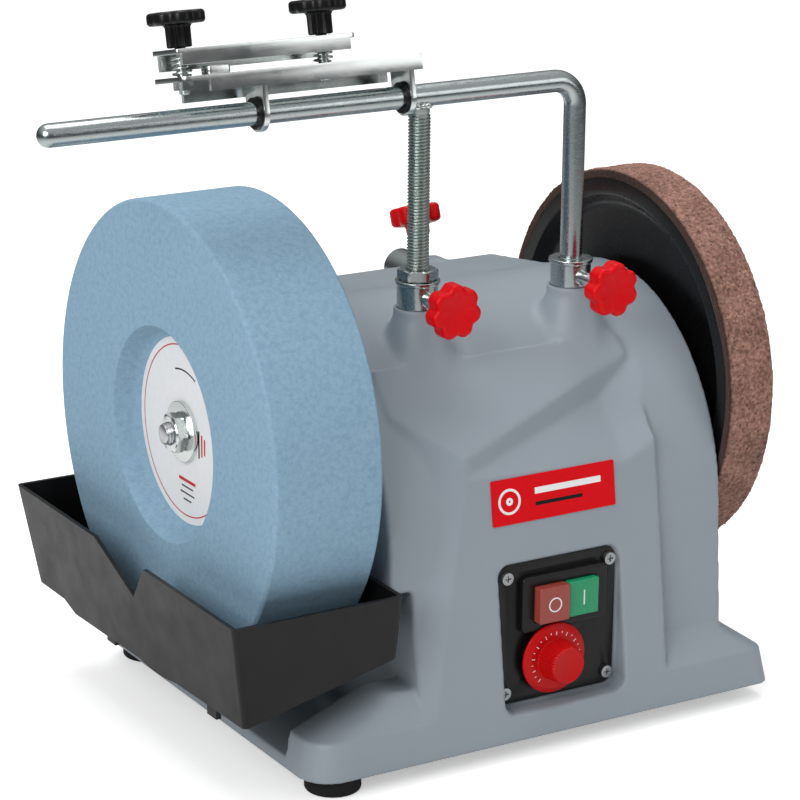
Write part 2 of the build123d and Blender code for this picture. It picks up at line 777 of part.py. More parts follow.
def make_wheel_hub():
    """Moulded hub of the leather wheel, dished on both sides."""
    rim = WHEEL_RADIUS - LEATHER_THICKNESS
    with BuildPart() as hub:
        with BuildSketch(Plane(origin=(WHEEL_X, 0, SHAFT_Z), x_dir=(1, 0, 0), z_dir=(0, -1, 0))):
            with BuildLine():
                Polyline(
                    (0.6, BORE_RADIUS),
                    (0.6, 22),
                    (6, 26),
                    (8, 90),
                    (0, 96),
                    (0, rim),
                    (WHEEL_WIDTH, rim),
                    (WHEEL_WIDTH, 96),
                    (18, 90),
                    (20, 26),
                    (21.5, 22),
                    (21.5, BORE_RADIUS),
                    close=True,
                )
            make_face()
        revolve(axis=Axis((0, 0, SHAFT_Z), (1, 0, 0)))
    return hub.part


# ---- drive --------------------------------------------------------------------------------------
def make_motor_cradle():
    """Saddle under the motor, its pivot tube and the tab that the spring lifts."""
    with BuildPart() as cradle:
        with BuildSketch(motor_plane.offset(STONE_X + 144)):
            Circle(MOTOR_RADIUS + 3)
            Circle(MOTOR_RADIUS + 0.05, mode=Mode.SUBTRACT)
            with Locations((0, 30)):
                Rectangle(90, 56, mode=Mode.SUBTRACT)
        extrude(amount=78)
        with BuildSketch(Plane.YZ.offset(STONE_X + 144)):
            with BuildLine():
                Polyline(
                    (MOTOR_Y + 20, MOTOR_Z - MOTOR_RADIUS),
                    (MOTOR_Y + 36.5, MOTOR_Z - 12),
                    (PIVOT_Y + 4, PIVOT_Z + 6),
                    (PIVOT_Y, PIVOT_Z - 7),
                    close=True,
                )
            make_face()
        extrude(amount=78)
        with BuildSketch(motor_plane.offset(STONE_X + 144)):
            Circle(MOTOR_RADIUS + 0.05)
        extrude(amount=78, mode=Mode.SUBTRACT)
        with BuildSketch(Plane.YZ.offset(STONE_X + 144)):
            with Locations((PIVOT_Y, PIVOT_Z)):
                Circle(8.5)
        extrude(amount=78)
        with BuildSketch(Plane.YZ.offset(STONE_X + 144)):
            with Locations((PIVOT_Y, PIVOT_Z)):
                Circle(PIVOT_RADIUS + 0.06)
        extrude(amount=78, mode=Mode.SUBTRACT)
        with BuildSketch(Plane.XY.offset(SPRING_TOP_Z)):
            with Locations((STONE_X + 185, (SPRING_Y + MOTOR_Y) / 2 + 2)):
                Rectangle(22, 34)
        extrude(amount=3)
        with BuildSketch(motor_plane.offset(STONE_X + 144)):
            Circle(MOTOR_RADIUS + 0.05)
        extrude(amount=78, mode=Mode.SUBTRACT)
    return cradle.part


def make_end_bells():
    with BuildPart() as bells:
        for x in (MOTOR_X0, MOTOR_X1 - 4):
            with BuildSketch(motor_plane.offset(x)):
                Circle(MOTOR_RADIUS)
                Circle(4.05, mode=Mode.SUBTRACT)
            extrude(amount=4)
    return bells.part


def make_cradle_spring():
    """Compression spring below the cradle."""
    height = SPRING_TOP_Z - SPRING_SEAT_Z - 2.4
    centre = (STONE_X + 185, SPRING_Y, SPRING_SEAT_Z + 1.2)
    with BuildPart() as spring:
        with BuildLine() as coil:
            Helix(pitch=4.1, height=height, radius=6, center=centre)
        with BuildSketch(Plane(coil.line @ 0, z_dir=coil.line % 0)):
            Circle(0.8)
        sweep(path=coil.line)
    return spring.part


# ---- water tray ---------------------------------------------------------------------------------
def tray_block(inset, floor_drop):
    """The tray's drafted outer form, closed below by its sloping floor."""
    rise = radians(TRAY_FLOOR_RISE)
    with BuildPart() as block:
        for depth in (0, TRAY_DEPTH):
            x0 = TRAY_X0 + inset + TRAY_DRAFT * depth
            x1 = TRAY_X1 - inset - 0.03 * depth
            half = TRAY_HALF - inset - TRAY_END_DRAFT * depth
            with BuildSketch(Plane.XY.offset(TRAY_RIM_Z - depth)):
                with Locations(((x0 + x1) / 2, 0)):
                    RectangleRounded(x1 - x0, 2 * half, TRAY_CORNER - inset)
        loft()
        # floor, lower towards the back and higher towards the casing
        floor = Plane(
            origin=(TRAY_X0 - 10, 0, SHAFT_Z - 124.7 - floor_drop),
            x_dir=(0, 1, 0),
            z_dir=(cos(rise), 0, sin(rise)),
        )
        with BuildSketch(floor):
            with BuildLine():
                Polyline(
                    (-150, 1.8),
                    (77, -4.0),
                    (90, 1.0),
                    (150, 1.0),
                    (150, -60),
                    (-150, -60),
                    close=True,
                )
            make_face()
        extrude(amount=160, mode=Mode.SUBTRACT)
    return block.part


def well_trough(radius, x0, x1, top_z):
    """Lower segment of a cylinder about the shaft."""
    with BuildPart() as trough:
        with BuildSketch(Plane.YZ.offset(x0)):
            with Locations((0, SHAFT_Z)):
                Circle(radius)
            with Locations((0, top_z - radius)):
                Rectangle(2 * radius, 2 * radius, mode=Mode.INTERSECT)
        extrude(amount=x1 - x0)
    return trough.part


def make_water_tray():
    with BuildPart() as tray:
        add(tray_block(0, 0))
        for y, width in ((34, 10), (-84, 10)):
            with BuildSketch(Plane.XY.offset(SHAFT_Z - 126)):
                with Locations((TRAY_X0 + 13, y)):
                    Rectangle(3, width)
            extrude(amount=8)
        # round-bottomed well under the stone
        add(well_trough(WELL_RADIUS, WELL_X0, WELL_X1, WELL_TOP_Z))
        with BuildPart(mode=Mode.PRIVATE) as water:
            add(tray_block(TRAY_WALL, -TRAY_WALL))
            with BuildSketch(Plane.XY.offset(TRAY_RIM_Z)):
                with Locations(((TRAY_X0 + TRAY_X1) / 2, 0)):
                    Rectangle(TRAY_X1 - TRAY_X0 - 8, 2 * TRAY_HALF - 8)
            extrude(amount=1)
            inner = WELL_RADIUS - TRAY_WALL
            add(well_trough(inner, WELL_X0 + TRAY_WALL, WELL_X1 - TRAY_WALL, WELL_TOP_Z + 1))
        add(water.part, mode=Mode.SUBTRACT)
        # notch in the outer wall
        with BuildSketch(Plane.YZ.offset(TRAY_X0 - 5)):
            with BuildLine():
                Polyline(
                    (30.6, SHAFT_Z - 60),
                    (-31, SHAFT_Z - 60),
                    (-11, SHAFT_Z - 83),
                    close=True,
                )
            make_face()
        extrude(amount=20, mode=Mode.SUBTRACT)
        # hooks over the casing's ledges
        with BuildSketch(Plane.XY.offset(HOOK_Z)):
            with Locations((TRAY_X1 + 7, 0)):
                with GridLocations(0, 2 * HOOK_Y, 1, 2):
                    Rectangle(17, 16)
        extrude(amount=3)
    return tray.part


# ---- tool support -------------------------------------------------------------------------------
def make_support_bar():
    with BuildPart() as bar:
        with BuildLine():
            FilletPolyline(
                (SMOOTH_LEG_X, LEG_Y, LEG_BOTTOM_Z),
                (SMOOTH_LEG_X, LEG_Y, BAR_Z),
                (BAR_X0, LEG_Y, BAR_Z),
                radius=BAR_BEND,
            )
        with BuildSketch(Plane.XY.offset(LEG_BOTTOM_Z)):
            with Locations((SMOOTH_LEG_X, LEG_Y)):
                Circle(BAR_RADIUS)
        sweep()
        fillet(bar.faces().sort_by(Axis.X)[0].edges(), 4.5)
        chamfer(bar.faces().sort_by(Axis.Z)[0].edges(), 0.8)
    return bar.part


def make_threaded_leg():
    """Threaded leg, welded under the bar."""
    with BuildPart() as leg:
        with BuildSketch(Plane.XY.offset(LEG_BOTTOM_Z)):
            with Locations((THREAD_LEG_X, LEG_Y)):
                Circle(BAR_RADIUS)
        extrude(amount=BAR_Z - LEG_BOTTOM_Z)
        with BuildSketch(Plane.YZ.offset(THREAD_LEG_X - 20)):
            with Locations((LEG_Y, BAR_Z)):
                Circle(BAR_RADIUS + 0.02)
        extrude(amount=40, mode=Mode.SUBTRACT)
        split(bisect_by=Plane.XY.offset(BAR_Z - 1), keep=Keep.BOTTOM)
        chamfer(leg.faces().sort_by(Axis.Z)[0].edges(), 0.8)
    return leg.part


def make_height_nut():
    with BuildPart() as nut:
        with BuildSketch(Plane.XY.offset(SLEEVE_TOP_Z + 0.05)):
            with Locations((THREAD_LEG_X, LEG_Y)):
                RegularPolygon(NUT_FLATS / 2, 6, major_radius=False)
                Circle(SLEEVE_BORE, mode=Mode.SUBTRACT)
        extrude(amount=HEIGHT_NUT)
    return nut.part


def star_head(plane, depth=KNOB_DEPTH):
    """Lobed head and hub of a lock knob; the plane is at the back of the lobes, facing outwards."""
    with BuildPart() as head:
        with BuildSketch(plane):
            Circle(KNOB_RADIUS - 3.4)
            with PolarLocations(KNOB_RADIUS - 4.6, KNOB_LOBES):
                Circle(4.6)
        extrude(amount=depth)
        with BuildSketch(plane.offset(-HUB_DEPTH)):
            Circle(7)
        extrude(amount=HUB_DEPTH)
        with BuildSketch(plane.offset(-HUB_DEPTH)):
            Circle(STUD_RADIUS)
        extrude(amount=HUB_DEPTH + 6, mode=Mode.SUBTRACT)
    return head.part


def stud(plane, length):
    """Threaded stud, moulded into the head, that runs back from the plane of the lobes."""
    with BuildPart() as body:
        with BuildSketch(plane.offset(-length)):
            Circle(STUD_RADIUS)
        extrude(amount=length + 6)
        chamfer(body.edges().filter_by(GeomType.CIRCLE), 0.6)
    return body.part


def front_lock_plane(x, y):
    return Plane(origin=(x, y, LOCK_Z), x_dir=(1, 0, 0), z_dir=(0, -1, 0))


def rear_lock_plane(x, reach):
    tilt = radians(REAR_LOCK_TILT)
    sleeve = Plane(
        origin=(x, REAR_LOCK_Y, REAR_SLEEVE_Z), x_dir=(1, 0, 0), z_dir=(0, sin(tilt), cos(tilt))
    )
    return sleeve.offset(reach)


# ---- clamp jig ----------------------------------------------------------------------------------
def make_jig_bushes():
    with BuildPart() as bushes:
        for x in LUG_X:
            with BuildSketch(Plane.YZ.offset(x - 1.5)):
                with Locations((LEG_Y, BAR_Z)):
                    Circle(BUSH_RADIUS)
                    Circle(BAR_RADIUS + 0.06, mode=Mode.SUBTRACT)
            extrude(amount=LUG_GAUGE + 2.2)
    return bushes.part


def make_jig_base():
    """Folded base plate with its two lugs; heights are above the bar's axis, across the tilt."""
    across = Plane(origin=jig_plane.origin, x_dir=-jig_plane.y_dir, z_dir=(-1, 0, 0))
    with BuildPart() as base:
        with BuildSketch(jig_plane.offset(JIG_TOP - JIG_GAUGE)):
            with Locations(((JIG_X0 + JIG_X1) / 2, 0)):
                RectangleRounded(JIG_X1 - JIG_X0, 2 * JIG_HALF, 5)
        extrude(amount=JIG_GAUGE)
        # front and rear flanges
        for x0, x1, v, drop in (
            (STONE_X - 0.4, JIG_X1 - 2, -JIG_HALF + JIG_GAUGE / 2, 8.0),
            (STONE_X - 0.5, JIG_X1 - 5, JIG_HALF - JIG_GAUGE / 2, 13.2),
        ):
            with BuildSketch(jig_plane.offset(JIG_TOP - drop)):
                with Locations(((x0 + x1) / 2, v)):
                    Rectangle(x1 - x0, JIG_GAUGE)
            extrude(amount=drop - 0.1)
        # lugs round the bushes
        for x in LUG_X:
            with BuildSketch(across.offset(-x - LUG_GAUGE)):
                Circle(LUG_RADIUS)
                with Locations((0, (JIG_TOP - 1) / 2)):
                    Rectangle(2 * LUG_RADIUS, JIG_TOP - 1)
            extrude(amount=LUG_GAUGE)
            with BuildSketch(across.offset(-x - LUG_GAUGE - 1)):
                Circle(BUSH_RADIUS + 0.06)
            extrude(amount=LUG_GAUGE + 2, mode=Mode.SUBTRACT)
        # nuts for the clamp screws
        with BuildSketch(jig_plane.offset(JIG_TOP - JIG_GAUGE - 4)):
            for x in JIG_SCREW_X:
                with Locations((x, 0)):
                    RegularPolygon(5, 6, major_radius=False)
        extrude(amount=4)
        with BuildSketch(jig_plane.offset(JIG_TOP - 12)):
            for x in JIG_SCREW_X:
                with Locations((x, 0)):
                    Circle(JIG_SCREW_RADIUS + 0.06)
        extrude(amount=30, mode=Mode.SUBTRACT)
    return base.part


def make_jig_stop():
    """Bright stop block for the blade's heel."""
    with BuildPart() as stop:
        with BuildSketch(jig_plane.offset(JIG_TOP)):
            with Locations((STONE_X + 7, -9)):
                RectangleRounded(13, 9, 2)
        extrude(amount=4.4)
    return stop.part


def make_jig_clamp():
    """Channel that presses the blade on the base plate."""
    with BuildPart() as clamp:
        with BuildSketch(jig_plane.offset(CLAMP_TOP - JIG_GAUGE)):
            with Locations(((CLAMP_X0 + CLAMP_X1) / 2, 0)):
                RectangleRounded(CLAMP_X1 - CLAMP_X0, 2 * CLAMP_HALF, 2)
        extrude(amount=JIG_GAUGE)
        for v, drop in ((-CLAMP_HALF + JIG_GAUGE / 2, 8.1), (CLAMP_HALF - JIG_GAUGE / 2, 10.6)):
            with BuildSketch(jig_plane.offset(CLAMP_TOP - drop)):
                with Locations(((CLAMP_X0 + CLAMP_X1) / 2, v)):
                    Rectangle(CLAMP_X1 - CLAMP_X0 - 6, JIG_GAUGE)
            extrude(amount=drop - 0.1)
        with BuildSketch(jig_plane.offset(CLAMP_TOP - 5)):
            for x in JIG_SCREW_X:
                with Locations((x, 0)):
                    Circle(JIG_SCREW_RADIUS + 0.06)
        extrude(amount=10, mode=Mode.SUBTRACT)
    return clamp.part


def make_jig_knob(x):
    """Lobed head on a long tapering hub."""
    spot = jig_plane.offset(JIG_KNOB_Z)
    with BuildPart() as knob:
        with BuildSketch(spot):
            with Locations((x, 0)):
                Circle(6)
        with BuildSketch(spot.offset(9)):
            with Locations((x, 0)):
                Circle(7.5)
        loft()
        with BuildSketch(spot.offset(9)):
            with Locations((x, 0)):
                Circle(KNOB_RADIUS - 4)
                with PolarLocations(KNOB_RADIUS - 4.8, KNOB_LOBES):
                    Circle(4.4)
        extrude(amount=9)
        with BuildSketch(spot):
            with Locations((x, 0)):
                Circle(JIG_SCREW_RADIUS)
        extrude(amount=12, mode=Mode.SUBTRACT)
    return knob.part


def make_jig_screw(x):
    with BuildPart() as screw:
        with BuildSketch(jig_plane.offset(JIG_TOP - 9)):
            with Locations((x, 0)):
                Circle(JIG_SCREW_RADIUS)
        extrude(amount=JIG_KNOB_Z + 12 - JIG_TOP + 9)
    return screw.part


def make_jig_springs():
    """Springs round the screws that lift the clamp channel."""
    with BuildPart() as springs:
        for x in JIG_SCREW_X:
            with BuildSketch(jig_plane.offset(JIG_TOP + 0.05)):
                with Locations((x, 0)):
                    Circle(5.2)
                    Circle(4.2, mode=Mode.SUBTRACT)
            extrude(amount=CLAMP_TOP - JIG_GAUGE - JIG_TOP - 0.1)
    return springs.part


def main():
    os.makedirs("parts", exist_ok=True)
    save(make_housing(), "housing")
    save(make_base_plate(), "base_plate")
    save(make_feet(), "rubber_feet")
    save(make_foot_screws(), "foot_screws")
    save(make_shaft_bushes(), "shaft_bushes")
    save(make_front_sleeves(), "front_sleeves")
    save(make_rear_sleeves(), "rear_sleeves")
    save(make_panel_plate(), "panel_plate")
    save(make_panel_screws(), "panel_screws")
    save(make_switch_body(), "switch_body")
    save(make_potentiometer(), "potentiometer")
    save(make_control_board(), "control_board")
    save(make_badge(), "badge")
    save(make_cable_gland(), "cable_gland")
    save(make_pivot_rod(), "pivot_rod")
    save(make_pivot_brackets(), "pivot_brackets")

    save(make_button(STONE_X + 170.6, 121.5), "button_off")
    save(make_button(STONE_X + 190.4, 119.5), "button_on")
    save(make_speed_dial(), "speed_dial")

    save(make_main_shaft(), "main_shaft")
    save(make_stone(), "grinding_stone")
    floor_x = STONE_X + RECESS_DEPTH
    save(disc(RECESS_RADIUS - 3, 14, floor_x - LABEL_THICKNESS, floor_x), "stone_label")
    save(disc(16.5, BORE_RADIUS, floor_x - 2.8, floor_x - LABEL_THICKNESS), "stone_washer")
    save(make_nut(floor_x - 9.3, 6.5), "stone_nut")
    save(disc(30, BORE_RADIUS, STONE_X + STONE_WIDTH, STONE_X + 67), "inner_flange")
    save(make_retaining_rings(), "retaining_rings")
    save(disc(DRIVE_RADIUS - 6, BORE_RADIUS, DRIVE_X0, DRIVE_X0 + DRIVE_WIDTH), "drive_wheel")
    save(disc(DRIVE_RADIUS, DRIVE_RADIUS - 6, DRIVE_X0, DRIVE_X0 + DRIVE_WIDTH), "drive_tyre")
    save(make_wheel_hub(), "leather_wheel_hub")
    save(
        disc(WHEEL_RADIUS, WHEEL_RADIUS - LEATHER_THICKNESS, WHEEL_X, WHEEL_X + WHEEL_WIDTH),
        "leather_band",
    )
    save(make_nut(WHEEL_X + 21.5, 9), "leather_wheel_nut")

    save(make_motor_cradle(), "motor_cradle")
    save(disc(MOTOR_RADIUS, MOTOR_RADIUS - 2, MOTOR_X0 + 4, MOTOR_X1 - 4, motor_plane), "motor_can")
    save(make_end_bells(), "motor_end_bells")
    save(disc(33.9, 21.5, MOTOR_X0 + 24, MOTOR_X1 - 24, motor_plane), "stator")
    save(disc(21, 4.02, MOTOR_X0 + 22, MOTOR_X1 - 22, motor_plane), "rotor_core")
    save(disc(4, 0, STONE_X + 97, MOTOR_X1 + 4, motor_plane), "motor_shaft")
    save(disc(PINION_RADIUS, 4.02, STONE_X + 97, STONE_X + 116, motor_plane), "drive_pinion")
    save(make_cradle_spring(), "cradle_spring")

    save(make_water_tray(), "water_tray")
    save(make_support_bar(), "support_bar")
    save(make_threaded_leg(), "threaded_leg")
    save(make_height_nut(), "height_nut")
    for side, x, y in zip(("left", "right"), LEG_X, LOCK_Y):
        front = front_lock_plane(x, y)
        save(star_head(front), f"front_lock_knob_{side}")
        save(stud(front, LEG_Y - BAR_RADIUS - 0.35 - y), f"front_lock_stud_{side}")
        rear = rear_lock_plane(x, REAR_LOCK_REACH)
        save(star_head(rear), f"rear_lock_knob_{side}")
        save(stud(rear, REAR_STUD), f"rear_lock_stud_{side}")

    save(make_jig_bushes(), "jig_bushes")
    save(make_jig_base(), "jig_base_plate")
    save(make_jig_stop(), "jig_stop")
    save(make_jig_clamp(), "jig_clamp_bar")
    save(make_jig_springs(), "jig_springs")
    for side, x in zip(("left", "right"), JIG_SCREW_X):
        save(make_jig_knob(x), f"jig_knob_{side}")
        save(make_jig_screw(x), f"jig_screw_{side}")


if __name__ == "__main__":
    main()
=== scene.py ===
"""Looks of the wet grinding sharpener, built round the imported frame. Metres, +Z up, the user at -Y."""
import json
import math

import bmesh
import bpy
import numpy as np
from mathutils import Matrix, Vector


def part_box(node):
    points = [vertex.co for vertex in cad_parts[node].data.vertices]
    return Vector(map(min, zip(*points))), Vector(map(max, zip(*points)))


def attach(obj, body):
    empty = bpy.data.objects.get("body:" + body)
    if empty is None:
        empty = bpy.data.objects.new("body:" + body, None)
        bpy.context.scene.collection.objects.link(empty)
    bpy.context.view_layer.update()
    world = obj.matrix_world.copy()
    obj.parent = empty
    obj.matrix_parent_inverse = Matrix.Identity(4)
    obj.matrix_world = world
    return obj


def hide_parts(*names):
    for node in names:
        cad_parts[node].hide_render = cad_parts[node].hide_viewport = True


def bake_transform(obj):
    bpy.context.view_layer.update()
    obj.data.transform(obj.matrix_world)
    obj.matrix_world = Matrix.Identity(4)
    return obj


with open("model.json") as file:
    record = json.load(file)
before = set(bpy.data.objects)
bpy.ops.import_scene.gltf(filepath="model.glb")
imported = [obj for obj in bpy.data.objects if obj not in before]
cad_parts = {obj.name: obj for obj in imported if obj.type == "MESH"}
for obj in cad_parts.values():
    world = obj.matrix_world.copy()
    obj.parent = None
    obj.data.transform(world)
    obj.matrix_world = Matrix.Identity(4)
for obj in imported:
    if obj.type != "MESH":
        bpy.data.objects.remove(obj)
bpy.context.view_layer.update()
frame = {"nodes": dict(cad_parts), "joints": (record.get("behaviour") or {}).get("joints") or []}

MM = 0.001
TURN = 2 * math.pi
BOX = {name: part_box(name) for name in frame["nodes"]}  # (lowest, highest) corner of each node


def middle(node):
    """Middle of a node's box."""
    low, high = BOX[node]
    return (low + high) / 2


# ---- material helpers ---------------------------------------------------------------------------
class Shader:
    """A principled material with procedural detail, in the piece's own coordinates."""

    def __init__(self, name, colour, roughness, metallic=0.0):
        self.material = bpy.data.materials.new(name)
        self.material.use_nodes = True
        self.tree = self.material.node_tree
        self.bsdf = self.tree.nodes["Principled BSDF"]
        self.bsdf.inputs["Base Color"].default_value = (*colour, 1)
        self.bsdf.inputs["Roughness"].default_value = roughness
        self.bsdf.inputs["Metallic"].default_value = metallic
        self.place = self.tree.nodes.new("ShaderNodeTexCoord").outputs["Object"]
        self.normal = None

    def put(self, kind, **values):
        node = self.tree.nodes.new(kind)
        for key, value in values.items():
            if key in node.inputs:
                node.inputs[key].default_value = value
            else:
                setattr(node, key, value)
        return node

    def link(self, source, target):
        self.tree.links.new(source, target)
        return self

    def noise(self, scale, detail=3.0, roughness=0.55, stretch=None):
        """Noise of about 1/scale metres across, stretched by a factor along each axis if asked."""
        node = self.put("ShaderNodeTexNoise", Scale=scale, Detail=detail, Roughness=roughness)
        source = self.place
        if stretch:
            mapping = self.put("ShaderNodeMapping", Scale=stretch)
            self.link(source, mapping.inputs["Vector"])
            source = mapping.outputs["Vector"]
        self.link(source, node.inputs["Vector"])
        return node.outputs["Fac"]

    def span(self, value, low, high, out_low, out_high):
        node = self.put("ShaderNodeMapRange")
        for key, number in (("From Min", low), ("From Max", high), ("To Min", out_low), ("To Max", out_high)):
            node.inputs[key].default_value = number
        self.link(value, node.inputs["Value"])
        return node.outputs["Result"]

    def blend(self, factor, first, second):
        """Colour that goes from first to second; each is a colour or another node's output."""
        node = self.put("ShaderNodeMix", data_type="RGBA")
        self.link(factor, node.inputs["Factor"])
        for socket, colour in ((node.inputs[6], first), (node.inputs[7], second)):
            if isinstance(colour, tuple):
                socket.default_value = (*colour, 1)
            else:
                self.link(colour, socket)
        return node.outputs[2]

    def colour(self, output):
        return self.link(output, self.bsdf.inputs["Base Color"])

    def rough(self, value, low, high):
        return self.link(self.span(value, 0.3, 0.7, low, high), self.bsdf.inputs["Roughness"])

    def bump(self, value, strength, distance):
        node = self.put("ShaderNodeBump", Strength=strength, Distance=distance)
        self.link(value, node.inputs["Height"])
        if self.normal:
            self.link(self.normal, node.inputs["Normal"])
        self.normal = node.outputs["Normal"]
        return self.link(self.normal, self.bsdf.inputs["Normal"])

    def sockets(self, **values):
        for key, value in values.items():
            self.bsdf.inputs[key.replace("_", " ")].default_value = value
        return self


def moulded(name, colour, roughness, grain=1400, strength=0.12, mottle=0.06, gloss=0.35):
    """Moulded plastic with a fine spark grain and faint flow marks."""
    s = Shader(name, colour, roughness)
    s.sockets(Specular_IOR_Level=gloss)
    dark = tuple(c * (1 - mottle) for c in colour)
    light = tuple(min(1, c * (1 + mottle)) for c in colour)
    s.colour(s.blend(s.noise(14, 4), dark, light))
    s.rough(s.noise(55, 3), roughness - 0.05, roughness + 0.06)
    s.bump(s.noise(grain, 2), strength, 0.00012)
    return s.material


def steel(name, colour, roughness, streak=(1, 1, 1), strength=0.05, tint=0.06):
    """Bright metal with drawn streaks and a slight change of tone."""
    s = Shader(name, colour, roughness, 1.0)
    dark = tuple(c * (1 - tint) for c in colour)
    s.colour(s.blend(s.noise(40, 4), dark, colour))
    s.rough(s.noise(160, 4, 0.6, streak), roughness * 0.75, roughness * 1.5)
    s.bump(s.noise(900, 3, 0.6, streak), strength, 0.00006)
    return s.material


def zinc_material():
    """Bright zinc plate: faint crystals, a cold green cast in the dull patches."""
    s = Shader("zinc_plate", (0.72, 0.74, 0.73), 0.2, 1.0)
    patches = s.noise(60, 5, 0.6)
    s.colour(s.blend(s.span(patches, 0.35, 0.7, 0, 1), (0.66, 0.71, 0.69), (0.78, 0.80, 0.785)))
    s.rough(patches, 0.16, 0.27)
    s.bump(s.noise(500, 4), 0.05, 0.00006)
    return s.material


def stone_material():
    """Fine sintered abrasive: a blue body with paler and darker grains."""
    s = Shader("abrasive_stone", (0.23, 0.36, 0.47), 0.85)
    body = s.blend(s.noise(6, 3), (0.222, 0.352, 0.462), (0.240, 0.372, 0.482))
    patches = s.blend(s.span(s.noise(330, 6, 0.75), 0.44, 0.66, 0, 0.75), body, (0.165, 0.280, 0.385))
    grains = s.blend(s.span(s.noise(1500, 2), 0.58, 0.72, 0, 0.5), patches, (0.37, 0.50, 0.60))
    s.colour(grains)
    s.bump(s.noise(420, 5, 0.75), 0.35, 0.0004)
    s.bump(s.noise(2200, 3, 0.8), 0.5, 0.00015)
    s.sockets(Specular_IOR_Level=0.2)
    return s.material


def leather_material():
    """Suede side of a leather band: rough nap, dark and pale fibres, dark cut edges below the nap."""
    s = Shader("suede_leather", (0.27, 0.11, 0.075), 0.95)
    broad = s.blend(s.noise(30, 5, 0.7), (0.300, 0.142, 0.108), (0.430, 0.222, 0.176))
    fibres = s.blend(s.span(s.noise(480, 3, 0.7), 0.46, 0.60, 0, 0.75), broad, (0.55, 0.33, 0.26))
    pits = s.blend(s.span(s.noise(610, 3, 0.7), 0.57, 0.63, 0, 0.85), fibres, (0.075, 0.026, 0.018))
    spot = s.put("ShaderNodeVectorMath", operation="SUBTRACT")
    s.link(s.place, spot.inputs[0])
    spot.inputs[1].default_value = (0, SHAFT_Y, SHAFT_Z)
    flat = s.put("ShaderNodeVectorMath", operation="MULTIPLY")
    s.link(spot.outputs[0], flat.inputs[0])
    flat.inputs[1].default_value = (0, 1, 1)
    reach = s.put("ShaderNodeVectorMath", operation="LENGTH")
    s.link(flat.outputs[0], reach.inputs[0])
    cut = s.span(reach.outputs["Value"], WHEEL_R - 1.8 * MM, WHEEL_R - 0.6 * MM, 1, 0)
    s.colour(s.blend(cut, pits, (0.030, 0.014, 0.012)))
    s.bump(s.noise(420, 6, 0.85), 1.0, 0.0014)
    s.sockets(Sheen_Weight=0.25, Sheen_Roughness=0.5, Sheen_Tint=(0.85, 0.62, 0.52, 1))
    s.sockets(Specular_IOR_Level=0.1)
    return s.material


def print_material(name, colour, roughness=0.4):
    s = Shader(name, colour, roughness)
    s.colour(s.blend(s.noise(300, 3), tuple(c * 0.9 for c in colour), colour))
    s.sockets(Specular_IOR_Level=0.12)
    s.bump(s.noise(2500, 2), 0.05, 0.00004)
    return s.material


def joint(name):
    return next(j for j in frame["joints"] if j["name"] == name)


SHAFT = middle("grinding_stone")
SHAFT_Y, SHAFT_Z = SHAFT.y, SHAFT.z
WHEEL_R = (BOX["leather_band"][1].z - BOX["leather_band"][0].z) / 2

MATERIALS = {
    "housing": moulded("casing_grey", (0.262, 0.302, 0.338), 0.46, 1500, 0.10, 0.03, 0.4),
    "black": moulded("black_moulding", (0.0045, 0.0045, 0.005), 0.34, 1600, 0.12, gloss=0.3),
    "tray": moulded("tray_black", (0.0035, 0.0031, 0.0032), 0.42, 1300, 0.2, gloss=0.3),
    "hub": moulded("hub_black", (0.003, 0.003, 0.0034), 0.28, 1800, 0.05, gloss=0.35),
    "red": moulded("knob_red", (0.60, 0.0006, 0.004), 0.34, 1700, 0.05, gloss=0.16),
    "dial": moulded("dial_red", (0.46, 0.002, 0.003), 0.36, 1700, 0.05, gloss=0.18),
    "off": moulded("button_red", (0.29, 0.050, 0.038), 0.26, 1500, 0.05, gloss=0.4),
    "on": moulded("button_green", (0.012, 0.260, 0.110), 0.26, 1500, 0.05, gloss=0.4),
    "badge": print_material("badge_red", (0.68, 0.001, 0.006), 0.38),
    "ink_white": print_material("ink_white", (0.82, 0.82, 0.82)),
    "ink_black": print_material("ink_black", (0.012, 0.012, 0.012)),
    "ink_red": print_material("ink_red", (0.50, 0.02, 0.025)),
    "paper": print_material("label_paper", (0.74, 0.75, 0.76), 0.45),
    "rubber": moulded("rubber", (0.008, 0.008, 0.008), 0.75, 900, 0.3, gloss=0.25),
    "steel": steel("ground_steel", (0.60, 0.61, 0.62), 0.28),
    "bar": steel("chromed_bar", (0.46, 0.50, 0.50), 0.21, (1, 6, 6), 0.04),
    "screw": steel("screw_steel", (0.36, 0.37, 0.375), 0.34),
    "thread": steel("plated_thread", (0.40, 0.45, 0.425), 0.30),
    "dark_steel": steel("dark_steel", (0.20, 0.205, 0.21), 0.42),
    "bronze": steel("bronze", (0.50, 0.34, 0.15), 0.38),
    "copper": steel("winding", (0.55, 0.24, 0.09), 0.35),
    "zinc": zinc_material(),
    "stone": stone_material(),
    "leather": leather_material(),
    "board": print_material("circuit_board", (0.02, 0.16, 0.05), 0.35),
}


# ---- mesh helpers -------------------------------------------------------------------------------
def finish_mesh(mesh, sharp=32):
    """Weld, shade smooth and keep edges over an angle sharp."""
    bm = bmesh.new()
    bm.from_mesh(mesh)
    bmesh.ops.remove_doubles(bm, verts=bm.verts, dist=1e-6)
    bmesh.ops.recalc_face_normals(bm, faces=bm.faces)
    bm.to_mesh(mesh)
    bm.free()
    mesh.polygons.foreach_set("use_smooth", [True] * len(mesh.polygons))
    mesh.set_sharp_from_angle(angle=math.radians(sharp))


def piece(name, mesh, material, body, nodes=()):
    """Put a finished mesh in the scene, on its body."""
    made = bpy.data.objects.new(name, mesh)
    bpy.context.scene.collection.objects.link(made)
    mesh.materials.clear()
    mesh.materials.append(MATERIALS[material])
    if body:
        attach(made, body)
    if nodes:
        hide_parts(*nodes)
    return made


